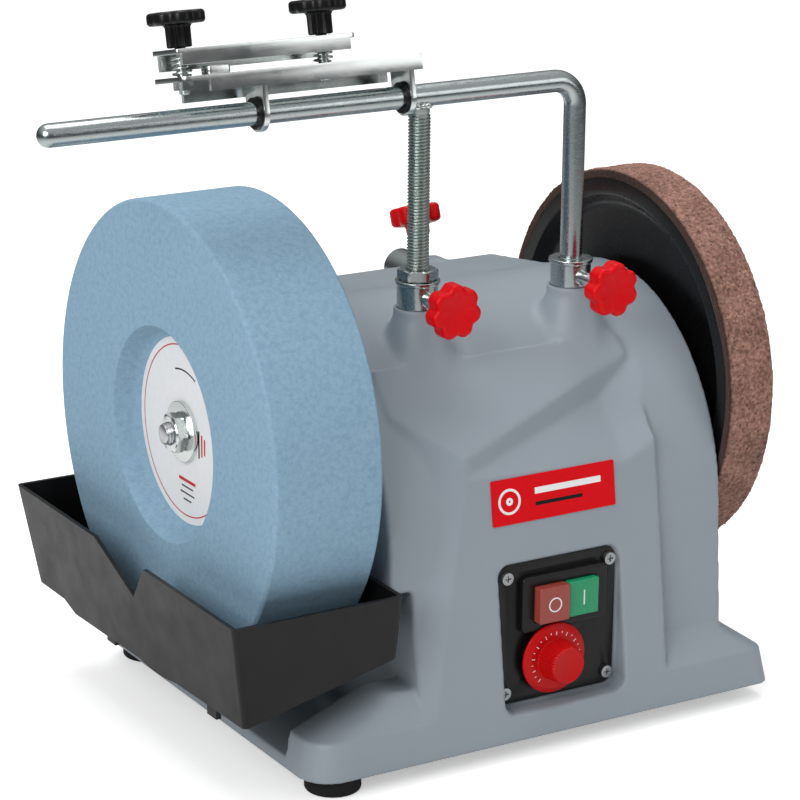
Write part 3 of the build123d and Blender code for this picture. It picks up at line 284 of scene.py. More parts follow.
def plate(name, centre, along, across, length, width, thickness, material, body):
    """Thin printed bar lying in the plane of two directions."""
    lift = along.cross(across).normalized() * thickness
    signs = ((-1, -1), (1, -1), (1, 1), (-1, 1))
    corners = [centre + along * length / 2 * i + across * width / 2 * j for i, j in signs]
    mesh = bpy.data.meshes.new(name)
    mesh.from_pydata([c + lift for c in corners] + [c - lift for c in corners], [],
                     [(0, 1, 2, 3), (7, 6, 5, 4), (0, 4, 5, 1), (1, 5, 6, 2), (2, 6, 7, 3), (3, 7, 4, 0)])
    finish_mesh(mesh, 30)
    return piece(name, mesh, material, body)


def skin(name, rows, wrap=False, sharp=32, caps=True):
    """Mesh through rings of points, shape (rings, points, 3); wrap joins the last ring to the first."""
    rows = np.asarray(rows, float)
    count, around = rows.shape[:2]
    index = np.arange(count * around).reshape(count, around)
    faces = []
    last = count if wrap else count - 1
    for i in range(last):
        a, b = index[i], index[(i + 1) % count]
        for j in range(around):
            k = (j + 1) % around
            faces.append((a[j], a[k], b[k], b[j]))
    if caps and not wrap:
        faces.append(tuple(index[0][::-1]))
        faces.append(tuple(index[-1]))
    mesh = bpy.data.meshes.new(name)
    mesh.from_pydata(rows.reshape(-1, 3).tolist(), [], [tuple(int(v) for v in f) for f in faces])
    finish_mesh(mesh, sharp)
    return mesh


class Turned:
    """A frame for turned pieces: an origin, the axis and two directions across it."""

    def __init__(self, origin, axis):
        self.origin = np.array(origin, float)
        self.axis = np.array(Vector(axis).normalized())
        side = Vector((0, 0, 1)) if abs(self.axis[2]) < 0.7 else Vector((1, 0, 0))
        across = Vector(self.axis).cross(side).normalized()
        self.u = np.array(across)
        self.v = np.cross(self.axis, self.u)

    def ring(self, height, radius, around):
        angle = np.linspace(0, TURN, around, endpoint=False)
        radii = radius(angle) if callable(radius) else np.full(around, radius)
        circle = np.outer(np.cos(angle) * radii, self.u) + np.outer(np.sin(angle) * radii, self.v)
        return self.origin + self.axis * height + circle


def rounded(points, radii, steps=5):
    """A polyline with its corners eased into curves; radii has one value for each point, 0 keeps it."""
    points = [Vector((p[0], p[1])) for p in points]
    out = [points[0]]
    for before, corner, after, radius in zip(points, points[1:], points[2:], radii[1:]):
        if radius <= 0:
            out.append(corner)
            continue
        back, ahead = (before - corner), (after - corner)
        reach = min(radius, back.length * 0.49, ahead.length * 0.49)
        start, end = corner + back.normalized() * reach, corner + ahead.normalized() * reach
        for i in range(steps + 1):
            t = i / steps
            out.append(start * (1 - t) ** 2 + corner * 2 * t * (1 - t) + end * t**2)
    out.append(points[-1])
    return [(p.x, p.y) for p in out]


def lathe(name, turned, profile, around=96, sharp=32, closed=False):
    """Turn a profile of (height, radius) about the axis; closed joins its last point to its first."""
    rows = [turned.ring(h, r, around) for h, r in profile]
    return skin(name, rows, wrap=closed, sharp=sharp)


def star(outer, depth, lobes, phase=0.0):
    """Radius of a lobed knob: broad lobes with narrower valleys."""
    def radius(angle):
        wave = np.cos(lobes * (angle - phase))
        return outer - depth * (0.5 - 0.5 * wave) ** 1.9
    return radius


def inset(radius, amount):
    return lambda angle: radius(angle) - amount


def hexagon(flats, limit=1.0):
    """Radius of a hexagon across flats, cut back to a circle at its corners."""
    def radius(angle):
        part = np.mod(angle, TURN / 6) - TURN / 12
        return np.minimum(flats / 2 / np.cos(part), limit)
    return radius


def nut(name, turned, flats, bore, height, material, body, nodes):
    """Hexagon nut with chamfered corners and a countersunk bore."""
    corner = flats / 2 / math.cos(TURN / 12)
    chamfer = 0.08 * flats
    rows = [
        turned.ring(0, bore + 0.0004, 96),
        turned.ring(0, flats / 2 * 0.97, 96),
        turned.ring(chamfer * 0.35, hexagon(flats, corner * 0.965), 96),
        turned.ring(chamfer, hexagon(flats, corner), 96),
        turned.ring(height - chamfer, hexagon(flats, corner), 96),
        turned.ring(height - chamfer * 0.35, hexagon(flats, corner * 0.965), 96),
        turned.ring(height, flats / 2 * 0.97, 96),
        turned.ring(height, bore + 0.0004, 96),
        turned.ring(height - 0.0004, bore, 96),
        turned.ring(0.0004, bore, 96),
    ]
    return piece(name, skin(name, rows, wrap=True, sharp=25), material, body, nodes)


def thread_rows(turned, start, end, outer, pitch, around=32, depth=None):
    """Rings of a screw thread from start to end along the axis."""
    depth = depth or 0.55 * pitch
    angle = np.linspace(0, 1, around, endpoint=False)
    rows = []
    for height in np.arange(start, end, pitch / 12):
        phase = np.mod(height / pitch - angle, 1.0)
        ridge = np.clip(1.25 - 2.5 * np.abs(phase - 0.5), 0, 1)
        ease = min(1.0, (height - start) / pitch, (end - height) / pitch)
        radii = outer - depth * (1 - ridge * max(ease, 0.0))
        rows.append(turned.ring(height, lambda _, r=radii: r, around))
    return rows


def tube(name, path, radius, around=16, sharp=60):
    """Round wire along a list of points."""
    path = [Vector(p) for p in path]
    rows = []
    normal = None
    for i, point in enumerate(path):
        ahead = path[min(i + 1, len(path) - 1)] - path[max(i - 1, 0)]
        ahead.normalize()
        if normal is None:
            normal = ahead.orthogonal().normalized()
        normal = (normal - ahead * normal.dot(ahead)).normalized()
        side = ahead.cross(normal)
        rows.append([
            point + (normal * math.cos(TURN * k / around) + side * math.sin(TURN * k / around)) * radius
            for k in range(around)
        ])
    return skin(name, rows, sharp=sharp)


def softened(node, name, width, material, body, angle=28, steps=2):
    """The CAD node's shape with its edges rounded, as a new mesh that stands for the node."""
    mesh = frame["nodes"][node].data.copy()
    mesh.name = name
    bm = bmesh.new()
    bm.from_mesh(mesh)
    bmesh.ops.remove_doubles(bm, verts=bm.verts, dist=2e-6)
    bmesh.ops.dissolve_limit(
        bm, angle_limit=math.radians(0.6), verts=bm.verts, edges=bm.edges, use_dissolve_boundaries=False
    )
    edges = [
        e for e in bm.edges
        if len(e.link_faces) == 2 and e.calc_face_angle(0.0) > math.radians(angle)
    ]
    bmesh.ops.bevel(
        bm, geom=edges, offset=width, offset_type="OFFSET", segments=steps, profile=0.5,
        affect="EDGES", clamp_overlap=True,
    )
    bm.to_mesh(mesh)
    bm.free()
    if "custom_normal" in mesh.attributes:
        mesh.attributes.remove(mesh.attributes["custom_normal"])
    finish_mesh(mesh, 34)
    return piece(name, mesh, material, body, [node])


def keep(node, material):
    """Show a CAD node as it is, with a finished material."""
    mesh = frame["nodes"][node].data
    mesh.materials.clear()
    mesh.materials.append(MATERIALS[material])


# ---- camera, floor and light --------------------------------------------------------------------
CAMERA_PLACE = Vector((-0.7838, -1.3410, 0.6457))
CAMERA_YAW = math.radians(31.19)
CAMERA_PITCH = math.radians(16.99)
CAMERA_ROLL = math.radians(0.55)
CAMERA_LENS = 133.84
CAMERA_FAR = 60
LIGHT_TARGET = (0, 0, 0.2)
LIGHTS = (  # name, place, (width, height), watts
    ("key", (-2.1, -1.2, 1.5), (1.6, 1.4), 44),
    ("fill", (1.6, -2.0, 1.0), (1.2, 1.2), 7),
    ("top", (0.1, 0.4, 2.4), (1.8, 1.4), 31),
)
FLOOR_REACH = 14.0
WORLD_STRENGTH = 0.60
BACKDROP_WHITE = (1.7, 1.7, 1.7, 1)  # full white after the world's strength
FLOOR_LIFT = 0.42  # glow that the camera sees, so that the floor comes out white
FLOOR_WHITE = (0.86, 0.86, 0.86)
FLOOR_FAR = (0.10, 0.105, 0.11)  # what polished metal reflects of the far floor


def make_camera():
    ahead = Vector((
        math.sin(CAMERA_YAW) * math.cos(CAMERA_PITCH),
        math.cos(CAMERA_YAW) * math.cos(CAMERA_PITCH),
        -math.sin(CAMERA_PITCH),
    ))
    right = Vector((math.cos(CAMERA_YAW), -math.sin(CAMERA_YAW), 0))
    up = right.cross(ahead)
    right, up = (
        right * math.cos(CAMERA_ROLL) + up * math.sin(CAMERA_ROLL),
        up * math.cos(CAMERA_ROLL) - right * math.sin(CAMERA_ROLL),
    )
    data = bpy.data.cameras.new("camera")
    data.lens = CAMERA_LENS
    data.clip_end = CAMERA_FAR
    camera = bpy.data.objects.new("camera", data)
    bpy.context.scene.collection.objects.link(camera)
    turn = Matrix((right, up, -ahead)).transposed().to_4x4()
    camera.matrix_world = Matrix.Translation(CAMERA_PLACE) @ turn
    bpy.context.scene.camera = camera


def area_light(name, place, target, size, power):
    data = bpy.data.lights.new(name, "AREA")
    data.shape = "RECTANGLE"
    data.size, data.size_y = size
    data.energy = power
    light = bpy.data.objects.new(name, data)
    bpy.context.scene.collection.objects.link(light)
    light.location = place
    light.rotation_mode = "QUATERNION"
    light.rotation_quaternion = (Vector(target) - Vector(place)).to_track_quat("-Z", "Y")


def make_floor():
    """White sweep: it lifts towards white where it is seen, and is darker far off in reflections."""
    mesh = bpy.data.meshes.new("floor")
    corners = [(FLOOR_REACH * x, FLOOR_REACH * y, 0) for x, y in ((-1, -1), (1, -1), (1, 1), (-1, 1))]
    mesh.from_pydata(corners, [], [(0, 1, 2, 3)])
    floor = bpy.data.objects.new("floor", mesh)
    bpy.context.scene.collection.objects.link(floor)
    s = Shader("floor_white", FLOOR_WHITE, 0.6)
    length = s.put("ShaderNodeVectorMath", operation="LENGTH")
    s.link(s.place, length.inputs[0])
    far = s.span(length.outputs["Value"], 0.45, 1.6, 0, 1)
    rays = s.put("ShaderNodeLightPath")
    dark = s.put("ShaderNodeMath", operation="MULTIPLY")
    s.link(far, dark.inputs[0]).link(rays.outputs["Is Glossy Ray"], dark.inputs[1])
    s.colour(s.blend(dark.outputs[0], FLOOR_WHITE, FLOOR_FAR))
    s.sockets(Specular_IOR_Level=0.0, Emission_Color=(1, 1, 1, 1))
    lift = s.put("ShaderNodeMath", operation="MULTIPLY")
    lift.inputs[1].default_value = FLOOR_LIFT
    s.link(rays.outputs["Is Camera Ray"], lift.inputs[0])
    s.link(lift.outputs[0], s.bsdf.inputs["Emission Strength"])
    mesh.materials.append(s.material)


def make_studio():
    make_floor()
    world = bpy.data.worlds.new("studio")
    bpy.context.scene.world = world
    world.use_nodes = True
    tree = world.node_tree
    background = tree.nodes["Background"]
    place = tree.nodes.new("ShaderNodeTexCoord").outputs["Generated"]
    split = tree.nodes.new("ShaderNodeSeparateXYZ")
    ramp = tree.nodes.new("ShaderNodeValToRGB")
    tree.links.new(place, split.inputs[0])
    tree.links.new(split.outputs["Z"], ramp.inputs["Fac"])
    seen = tree.nodes.new("ShaderNodeMixRGB")
    seen.inputs["Color2"].default_value = BACKDROP_WHITE
    tree.links.new(tree.nodes.new("ShaderNodeLightPath").outputs["Is Camera Ray"], seen.inputs["Fac"])
    tree.links.new(ramp.outputs["Color"], seen.inputs["Color1"])
    tree.links.new(seen.outputs["Color"], background.inputs["Color"])
    stops = ramp.color_ramp.elements
    stops[0].position, stops[0].color = 0.0, (0.16, 0.165, 0.17, 1)
    stops[1].position, stops[1].color = 1.0, (1.0, 1.0, 1.0, 1)
    for position, value in ((0.14, 0.14), (0.34, 0.42), (0.60, 0.90)):
        stop = stops.new(position)
        stop.color = (value, value * 1.01, value * 1.02, 1)
    background.inputs["Strength"].default_value = WORLD_STRENGTH

    for name, spot, size, power in LIGHTS:
        area_light(name, spot, LIGHT_TARGET, size, power)
    bpy.context.scene.view_settings.view_transform = "Standard"


make_camera()
make_studio()

# ---- shared places ------------------------------------------------------------------------------
STONE_X0, STONE_X1 = BOX["grinding_stone"][0].x, BOX["grinding_stone"][1].x
STONE_R = BOX["grinding_stone"][1].z - SHAFT_Z
BORE = 6.05 * MM
INK = 0.05 * MM  # thickness of printed marks


def on_shaft(x):
    return Turned((x, SHAFT_Y, SHAFT_Z), (1, 0, 0))


# ---- casing -------------------------------------------------------------------------------------
def relax(co, edges, weights, rounds, hold=0.0):
    """Move points towards their neighbours, each by its own weight; hold pushes them back each round."""
    a, b = edges[:, 0], edges[:, 1]
    count = np.bincount(np.concatenate([a, b]), minlength=len(co)).astype(float)[:, None]
    steps = (1.0, -hold) if hold else (1.0,)
    for _ in range(rounds):
        for step in steps:
            total = np.zeros_like(co)
            for axis in range(3):
                total[:, axis] = np.bincount(a, co[b, axis], len(co)) + np.bincount(b, co[a, axis], len(co))
            co += step * (total / count - co) * weights[:, None]
    return co


def near(co, centre, radius, soft):
    """1 inside a ball, fading to 0 over the soft distance outside it."""
    distance = np.linalg.norm(co - np.array(centre), axis=1)
    return np.clip((radius + soft - distance) / soft, 0, 1)


def within(co, low, high, soft):
    """1 inside a box, fading to 0 over the soft distance outside it."""
    outside = np.maximum(np.maximum(np.array(low) - co, co - np.array(high)), 0)
    return np.clip(1 - np.linalg.norm(outside, axis=1) / soft, 0, 1)


CASING_VOXEL = 1.3 * MM
PLINTH_CRISP_Z = 12.5 * MM  # below this the underside stays sharp
BOSS_ROUNDS, SCOOP_ROUNDS, EVEN_ROUNDS = 46, 3, 6  # relaxing rounds on the full mesh
BOSS_R, BOSS_FADE = 22 * MM, 10 * MM
BOSS_LIP = 14 * MM  # half the square round each sleeve that stays crisp
BLOCK_FRONT_Y, BLOCK_BACK_Y = -0.13, -0.055


def make_casing():
    """The CAD shell remeshed and relaxed, so that its edges and hollows blend as a moulding's do."""
    voxel = CASING_VOXEL
    source = frame["nodes"]["housing"].data.copy()
    work = bpy.data.objects.new("casing_work", source)
    bpy.context.scene.collection.objects.link(work)
    remesh = work.modifiers.new("remesh", "REMESH")
    remesh.mode = "VOXEL"
    remesh.voxel_size = voxel
    graph = bpy.context.evaluated_depsgraph_get()
    mesh = bpy.data.meshes.new_from_object(work.evaluated_get(graph))
    bpy.data.objects.remove(work)
    co = np.zeros(len(mesh.vertices) * 3)
    mesh.vertices.foreach_get("co", co)
    co = co.reshape(-1, 3)
    edges = np.zeros(len(mesh.edges) * 2, np.int64)
    mesh.edges.foreach_get("vertices", edges)
    edges = edges.reshape(-1, 2)

    sleeve = [Vector((x, middle("front_sleeves").y, BOX["front_sleeves"][0].z)) for x in SLEEVE_X]
    panel_low, panel_high = BOX["panel_plate"]
    crisp = within(co, panel_low - Vector((6, 14, 6)) * MM, panel_high + Vector((6, 6, 5)) * MM, 3 * MM)
    crisp = np.maximum(crisp, np.clip((PLINTH_CRISP_Z - co[:, 2]) / (1.5 * MM), 0, 1))
    for spot in sleeve:
        top = BOX["front_sleeves"][1].z - 14.5 * MM
        lip_low = (spot.x - BOSS_LIP, spot.y - BOSS_LIP, top - 1.5 * MM)
        lip_high = (spot.x + BOSS_LIP, spot.y + BOSS_LIP, top + 2 * MM)
        crisp = np.maximum(crisp, within(co, lip_low, lip_high, 2 * MM))
    soft = np.zeros(len(co))
    for spot in sleeve:
        soft = np.maximum(soft, near(co, spot, BOSS_R, BOSS_FADE))
    block_low = Vector((panel_low.x - 60 * MM, BLOCK_FRONT_Y, panel_high.z + 35 * MM))
    block_high = Vector((panel_high.x + 45 * MM, BLOCK_BACK_Y, SHAFT_Z + 50 * MM))
    scoop = within(co, block_low, block_high, 10 * MM)
    step = (CASING_VOXEL / voxel) ** 2  # fewer rounds on a coarser mesh
    even = np.full(len(co), 0.5) * (1 - 0.9 * crisp)
    co = relax(co, edges, 0.5 * soft * (1 - crisp), int(BOSS_ROUNDS * step))
    co = relax(co, edges, 0.5 * scoop * (1 - crisp), int(SCOOP_ROUNDS * step))
    co = relax(co, edges, even, max(3, int(EVEN_ROUNDS * step)), 1.04)
    co = relax(co, edges, even, 1)
    mesh.vertices.foreach_set("co", co.ravel())
    mesh.update()
    mesh.polygons.foreach_set("use_smooth", [True] * len(mesh.polygons))
    if "custom_normal" in mesh.attributes:
        mesh.attributes.remove(mesh.attributes["custom_normal"])
    piece("casing", mesh, "housing", "machine", ["housing"])


SLEEVE_X = tuple(joint(f"front_lock_{side}_turn")["pos_m"][0] for side in ("left", "right"))
make_casing()


# ---- stone and shaft ----------------------------------------------------------------------------
def make_stone():
    depth, floor_r, mouth_r = 13.6 * MM, 54 * MM, 58 * MM
    width = STONE_X1 - STONE_X0
    profile = rounded(
        [
            (depth, BORE), (depth, floor_r - 3 * MM), (depth - 3 * MM, floor_r), (0, mouth_r),
            (0, STONE_R - 1.4 * MM), (1.4 * MM, STONE_R), (width - 1.4 * MM, STONE_R),
            (width, STONE_R - 1.4 * MM), (width, BORE),
        ],
        [0, 2.4 * MM, 2.4 * MM, 0.6 * MM, 0.7 * MM, 0.7 * MM, 0.7 * MM, 0.7 * MM, 0],
    )
    mesh = lathe("stone", on_shaft(STONE_X0), profile, 256, 40, closed=True)
    piece("stone", mesh, "stone", "spindle", ["grinding_stone"])


def flat_ring(name, turned, inner, outer, thickness, material, body, start=0.0, end=TURN):
    """A printed ring or arc, a hair proud of the surface it lies on."""
    steps = max(8, int(abs(end - start) / TURN * 160))
    angle = np.linspace(start, end, steps)
    rows = []
    for a in angle:
        across = turned.u * math.cos(a) + turned.v * math.sin(a)
        rows.append([
            turned.origin + across * inner, turned.origin + across * outer,
            turned.origin + across * outer + turned.axis * thickness,
            turned.origin + across * inner + turned.axis * thickness,
        ])
    return piece(name, skin(name, rows, sharp=30), material, body)


def make_label():
    """Round paper label with a thin red ring, a short arc, and plain bars where print would be."""
    x = BOX["stone_label"][0].x
    keep("stone_label", "paper")
    face = Turned((x, SHAFT_Y, SHAFT_Z), (-1, 0, 0))
    flat_ring("label_ring", face, 46.2 * MM, 46.9 * MM, INK, "ink_red", "spindle")
    flat_ring("label_arrow", face, 33 * MM, 33.9 * MM, INK, "ink_black", "spindle", 4.3, 5.0)
    for k in range(4):
        spot = Vector((x, SHAFT_Y - 3 * MM, SHAFT_Z - (27 + 3.6 * k) * MM))
        plate(f"label_line_{k}", spot, Vector((0, 1, 0)), Vector((0, 0, 1)), (19, 13, 16, 9)[k] * MM,
              (1.8 if k == 0 else 0.9) * MM, INK, "ink_red" if k == 0 else "ink_black", "spindle")
    for k in range(3):
        spot = Vector((x, SHAFT_Y - (17 + 3.2 * k) * MM, SHAFT_Z - 3 * MM))
        plate(f"label_mark_{k}", spot, Vector((0, 0, 1)), Vector((0, 1, 0)), (15 - 3 * k) * MM, 1.5 * MM, INK,
              "ink_red" if k else "ink_black", "spindle")


def make_shaft():
    low, high = BOX["main_shaft"]
    turned = on_shaft(low.x)
    length = high.x - low.x
    crest, pitch, depth = 5.98 * MM, 1.5 * MM, 0.7 * MM
    plain = 22 * MM
    rows = [turned.ring(0, 4.4 * MM, 32)]
    rows += thread_rows(turned, 0.4 * MM, 13 * MM, crest, pitch, 32, depth)
    rows += [turned.ring(h, crest, 32) for h in (plain, length - 16 * MM)]
    rows += thread_rows(turned, length - 15 * MM, length - 0.4 * MM, crest, pitch, 32, depth)
    rows.append(turned.ring(length, 4.4 * MM, 32))
    piece("shaft", skin("shaft", rows, sharp=60), "steel", "spindle", ["main_shaft"])


def washer(name, node, inner, body, material="zinc"):
    low, high = BOX[node]
    outer = (high.z - low.z) / 2
    thick = high.x - low.x
    edge = 0.35 * MM
    profile = rounded(
        [(0, inner), (0, outer), (thick, outer), (thick, inner)],
        [0, edge, edge, 0],
    )
    mesh = lathe(name, on_shaft(low.x), profile, 128, 40, closed=True)
    piece(name, mesh, material, body, [node])


make_stone()
make_label()
make_shaft()
washer("washer", "stone_washer", BORE, "spindle")
washer("flange", "inner_flange", BORE, "spindle")
NUT_FLATS = 19 * MM
nut("stone_nut_piece", on_shaft(BOX["stone_nut"][0].x), NUT_FLATS, BORE, 6.5 * MM, "zinc", "spindle",
    ["stone_nut"])
nut("wheel_nut_piece", on_shaft(BOX["leather_wheel_nut"][0].x), NUT_FLATS, BORE, 9 * MM, "zinc", "spindle",
    ["leather_wheel_nut"])


# ---- leather wheel ------------------------------------------------------------------------------
def make_wheel():
    low, high = BOX["leather_band"]
    width = high.x - low.x
    outer = (high.z - low.z) / 2
    rim = outer - 6 * MM
    profile = rounded(
        [
            (0.6 * MM, BORE), (0.6 * MM, 22 * MM), (6 * MM, 26 * MM), (8 * MM, 90 * MM), (0, 96 * MM),
            (0, rim), (width, rim), (width, 96 * MM), (18 * MM, 90 * MM), (20 * MM, 26 * MM),
            (21.5 * MM, 22 * MM), (21.5 * MM, BORE),
        ],
        [0, 1.5 * MM, 3 * MM, 4 * MM, 2 * MM, 0.6 * MM, 0.6 * MM, 2 * MM, 4 * MM, 3 * MM, 1 * MM, 0],
    )
    mesh = lathe("honing_hub", on_shaft(low.x), profile, 192, 30, closed=True)
    piece("honing_hub", mesh, "hub", "spindle", ["leather_wheel_hub"])

    around, across = ((900, 44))
    rng = np.random.default_rng(7)
    section = rounded(
        [(0.2 * MM, rim + 0.02 * MM), (0.2 * MM, outer - 0.9 * MM), (width - 0.2 * MM, outer - 0.9 * MM),
         (width - 0.2 * MM, rim + 0.02 * MM)],
        [0, 1.6 * MM, 1.6 * MM, 0], 4,
    )
    lengths = np.cumsum([0] + [math.dist(a, b) for a, b in zip(section, section[1:])])
    spots = np.linspace(0, lengths[-1], across)
    heights = np.interp(spots, lengths, [p[0] for p in section])
    radii = np.interp(spots, lengths, [p[1] for p in section])
    fluff = rng.normal(0, 1, (across, around))
    fluff = (fluff + np.roll(fluff, 1, 1) + np.roll(fluff, 1, 0)) / 3
    slow = rng.normal(0, 1, (across, around))
    for _ in range(30):
        slow = (slow + np.roll(slow, 1, 1) + np.roll(slow, -1, 1)) / 3
        slow = (slow + np.roll(slow, 1, 0) + np.roll(slow, -1, 0)) / 3
    slow /= slow.std()
    turned = on_shaft(low.x)
    rows = []
    for i in range(across):
        edge = min(1.0, i / 3, (across - 1 - i) / 3)
        lift = (0.42 * fluff[i] + 0.10 * slow[i]) * MM * (0.35 + 0.65 * edge)
        lift = np.clip(lift, -0.5 * MM, 0.8 * MM)
        shift = float(np.clip(heights[i], 0, width))
        radius = np.minimum(radii[i] + lift, outer)
        rows.append(turned.ring(shift, lambda _, r=radius: r, around))
    mesh = skin("leather_tyre", rows, wrap=True, sharp=80)
    piece("leather_tyre", mesh, "leather", "spindle", ["leather_band"])


make_wheel()


# ---- tool support -------------------------------------------------------------------------------
BAR_R = 6 * MM
BAR_BEND = 14 * MM
SLEEVE_BORE, SLEEVE_R, COLLAR_R = 6.08 * MM, 11 * MM, 12 * MM
LEG_PITCH = 1.75 * MM
HUB_DEPTH = 6 * MM
KNOB_RADIUS = 14.9 * MM
LOCK_VALLEY, LOCK_HEAD = 2.2 * MM, 11 * MM
BAR_LOW, BAR_HIGH = BOX["support_bar"]
LEG_Y = (BAR_LOW.y + BAR_HIGH.y) / 2
BAR_Z = BAR_HIGH.z - BAR_R
SMOOTH_X = BAR_HIGH.x - BAR_R
THREAD_X = middle("threaded_leg").x


def make_support():
    corner = Vector((SMOOTH_X - BAR_BEND, LEG_Y, BAR_Z - BAR_BEND))
    path = [Vector((SMOOTH_X, LEG_Y, z)) for z in np.linspace(BAR_LOW.z + 0.8 * MM, corner.z, 12)]
    for k in range(1, 17):
        a = TURN / 4 * k / 16
        path.append(corner + Vector((math.cos(a), 0, math.sin(a))) * BAR_BEND)
    path += [Vector((x, LEG_Y, BAR_Z)) for x in np.linspace(corner.x, BAR_LOW.x + BAR_R, 24)[1:]]
    body = tube("support_rod_path", path, BAR_R, 40)
    rows_path = Turned((BAR_LOW.x, LEG_Y, BAR_Z), (1, 0, 0))
    bm = bmesh.new()
    bm.from_mesh(body)
    dome_rows = []
    for k in range(9):
        a = TURN / 4 * k / 8
        dome_rows.append(rows_path.ring(BAR_R - BAR_R * math.cos(a), max(BAR_R * math.sin(a), 1e-7), 40))
    dome = skin("dome", dome_rows, caps=False)
    bm.from_mesh(dome)
    bm.to_mesh(body)
    bm.free()
    finish_mesh(body, 50)
    body.name = "support_rod"
    piece("support_rod", body, "bar", "support", ["support_bar"])

    low = BOX["threaded_leg"][0]
    turned = Turned((THREAD_X, LEG_Y, low.z), (0, 0, 1))
    top = BAR_Z - low.z
    rows = [turned.ring(0, 5 * MM, 64)]
    rows += thread_rows(turned, 0.5 * MM, top - 9 * MM, BAR_R - 0.05 * MM, LEG_PITCH, 64, 0.9 * MM)
    rows += [turned.ring(top - h, BAR_R - 0.6 * MM, 64) for h in (8.5 * MM, 5.2 * MM)]
    rod = skin("threaded_rod", rows, sharp=70)
    piece("threaded_rod", rod, "thread", "support", ["threaded_leg"])

    bead_count = 11
    bead = bmesh.new()
    for k in range(bead_count):
        a = TURN * k / bead_count
        r = BAR_R * (0.96 + 0.10 * math.sin(2 * a))
        lift = BAR_Z - 5.6 * MM + 1.1 * MM * abs(math.sin(a))
        spot = Matrix.Translation((THREAD_X + math.cos(a) * r, LEG_Y + math.sin(a) * r * 0.9, lift))
        drop = (1.9 + 0.35 * math.sin(5 * a)) * MM
        bmesh.ops.create_icosphere(bead, subdivisions=3, radius=drop, matrix=spot)
    mesh = bpy.data.meshes.new("weld_bead")
    bead.to_mesh(mesh)
    bead.free()
    finish_mesh(mesh, 180)
    piece("weld_bead", mesh, "zinc", "support")


def make_sleeves():
    low, high = BOX["front_sleeves"]
    for side, x in zip(("left", "right"), SLEEVE_X):
        turned = Turned((x, LEG_Y, low.z), (0, 0, 1))
        top = high.z - low.z
        profile = rounded(
            [(0, SLEEVE_BORE), (0, SLEEVE_R), (top - 2.6 * MM, SLEEVE_R), (top - 2 * MM, COLLAR_R),
             (top, COLLAR_R), (top, 6.9 * MM), (top - 0.8 * MM, SLEEVE_BORE)],
            [0, 0.4 * MM, 0, 0.4 * MM, 0.5 * MM, 0.2 * MM, 0],
        )
        mesh = lathe(f"sleeve_{side}", turned, profile, 96, 30, closed=True)
        piece(f"sleeve_{side}", mesh, "bar", "machine", ["front_sleeves"])
    low, high = BOX["rear_sleeves"]
    for side, x in zip(("left", "right"), SLEEVE_X):
        turned = Turned((x, low.y, (low.z + high.z) / 2), (0, 1, 0))
        length = high.y - low.y
        profile = rounded(
            [(0, SLEEVE_BORE), (0, SLEEVE_R), (length, SLEEVE_R), (length, SLEEVE_BORE)],
            [0, 0.4 * MM, 0.7 * MM, 0],
        )
        mesh = lathe(f"rear_sleeve_{side}_piece", turned, profile, 96, 30, closed=True)
        piece(f"rear_sleeve_{side}_piece", mesh, "bar", "machine", ["rear_sleeves"])


def lobed_knob(
    name, turned, outer, valley, thickness, hub, hub_shape, body, material, node, lobes=7, phase=0.3
):
    """Lobed head with rounded edges and a dished face, and the hub behind it."""
    shape = star(outer, valley, lobes, phase)
    around = 168
    edge = min(thickness * 0.3, 2.6 * MM)
    rows = [
        turned.ring(-hub, inset(hub_shape, 0.8 * MM), around),
        turned.ring(-hub + 0.5 * MM, inset(hub_shape, 0.1 * MM), around),
        turned.ring(-1.6 * MM, hub_shape, around),
        turned.ring(-0.4 * MM, inset(hub_shape, -0.7 * MM), around),
        turned.ring(0.1 * MM, inset(hub_shape, -2.0 * MM), around),
    ]
    arc = [TURN / 4 * k / 6 for k in range(7)]
    bends = [(edge * (1 - math.sin(a)), edge * (1 - math.cos(a))) for a in arc]
    rows += [turned.ring(rise, inset(shape, back), around) for rise, back in bends[::-1]]
    rows += [turned.ring(thickness - rise, inset(shape, back), around) for rise, back in bends]
    rows.append(turned.ring(thickness - 0.1 * MM, inset(shape, edge + 1.2 * MM), around))
    rows.append(turned.ring(thickness - 0.7 * MM, 7.8 * MM, around))
    rows.append(turned.ring(thickness - 0.8 * MM, 0.01 * MM, around))
    return piece(name, skin(name, rows, sharp=40), material, body, [node])


def steady(radius):
    return lambda angle: np.full(len(angle), radius)


def ribbed(radius, depth, ribs):
    return lambda angle: radius - depth * (0.5 - 0.5 * np.cos(ribs * angle)) ** 0.6


def make_lock_knobs():
    hub = steady(7 * MM)
    for side, x in zip(("left", "right"), SLEEVE_X):
        node = f"front_lock_knob_{side}"
        low, high = BOX[node]
        turned = Turned((x, high.y - HUB_DEPTH, (low.z + high.z) / 2), (0, -1, 0))
        lobed_knob(
            f"front_star_{side}", turned, KNOB_RADIUS, LOCK_VALLEY, LOCK_HEAD, HUB_DEPTH, hub,
            f"front_lock_{side}", "red", node, phase=0.25 if side == "left" else 0.05,
        )
        turn = joint(f"rear_lock_{side}_turn")
        axis = Vector(turn["axis"])
        turned = Turned(Vector(turn["pos_m"]) - axis * 6.4 * MM, axis)
        lobed_knob(
            f"rear_star_{side}", turned, KNOB_RADIUS, LOCK_VALLEY, LOCK_HEAD, HUB_DEPTH, hub,
            f"rear_lock_{side}", "red", f"rear_lock_knob_{side}",
        )
        for row in ("front", "rear"):
            keep(f"{row}_lock_stud_{side}", "zinc")


make_support()
make_sleeves()
nut("height_nut_piece", Turned((THREAD_X, LEG_Y, BOX["height_nut"][0].z), (0, 0, 1)), NUT_FLATS, SLEEVE_BORE,
    6 * MM, "bar", "height_nut_body", ["height_nut"])
make_lock_knobs()


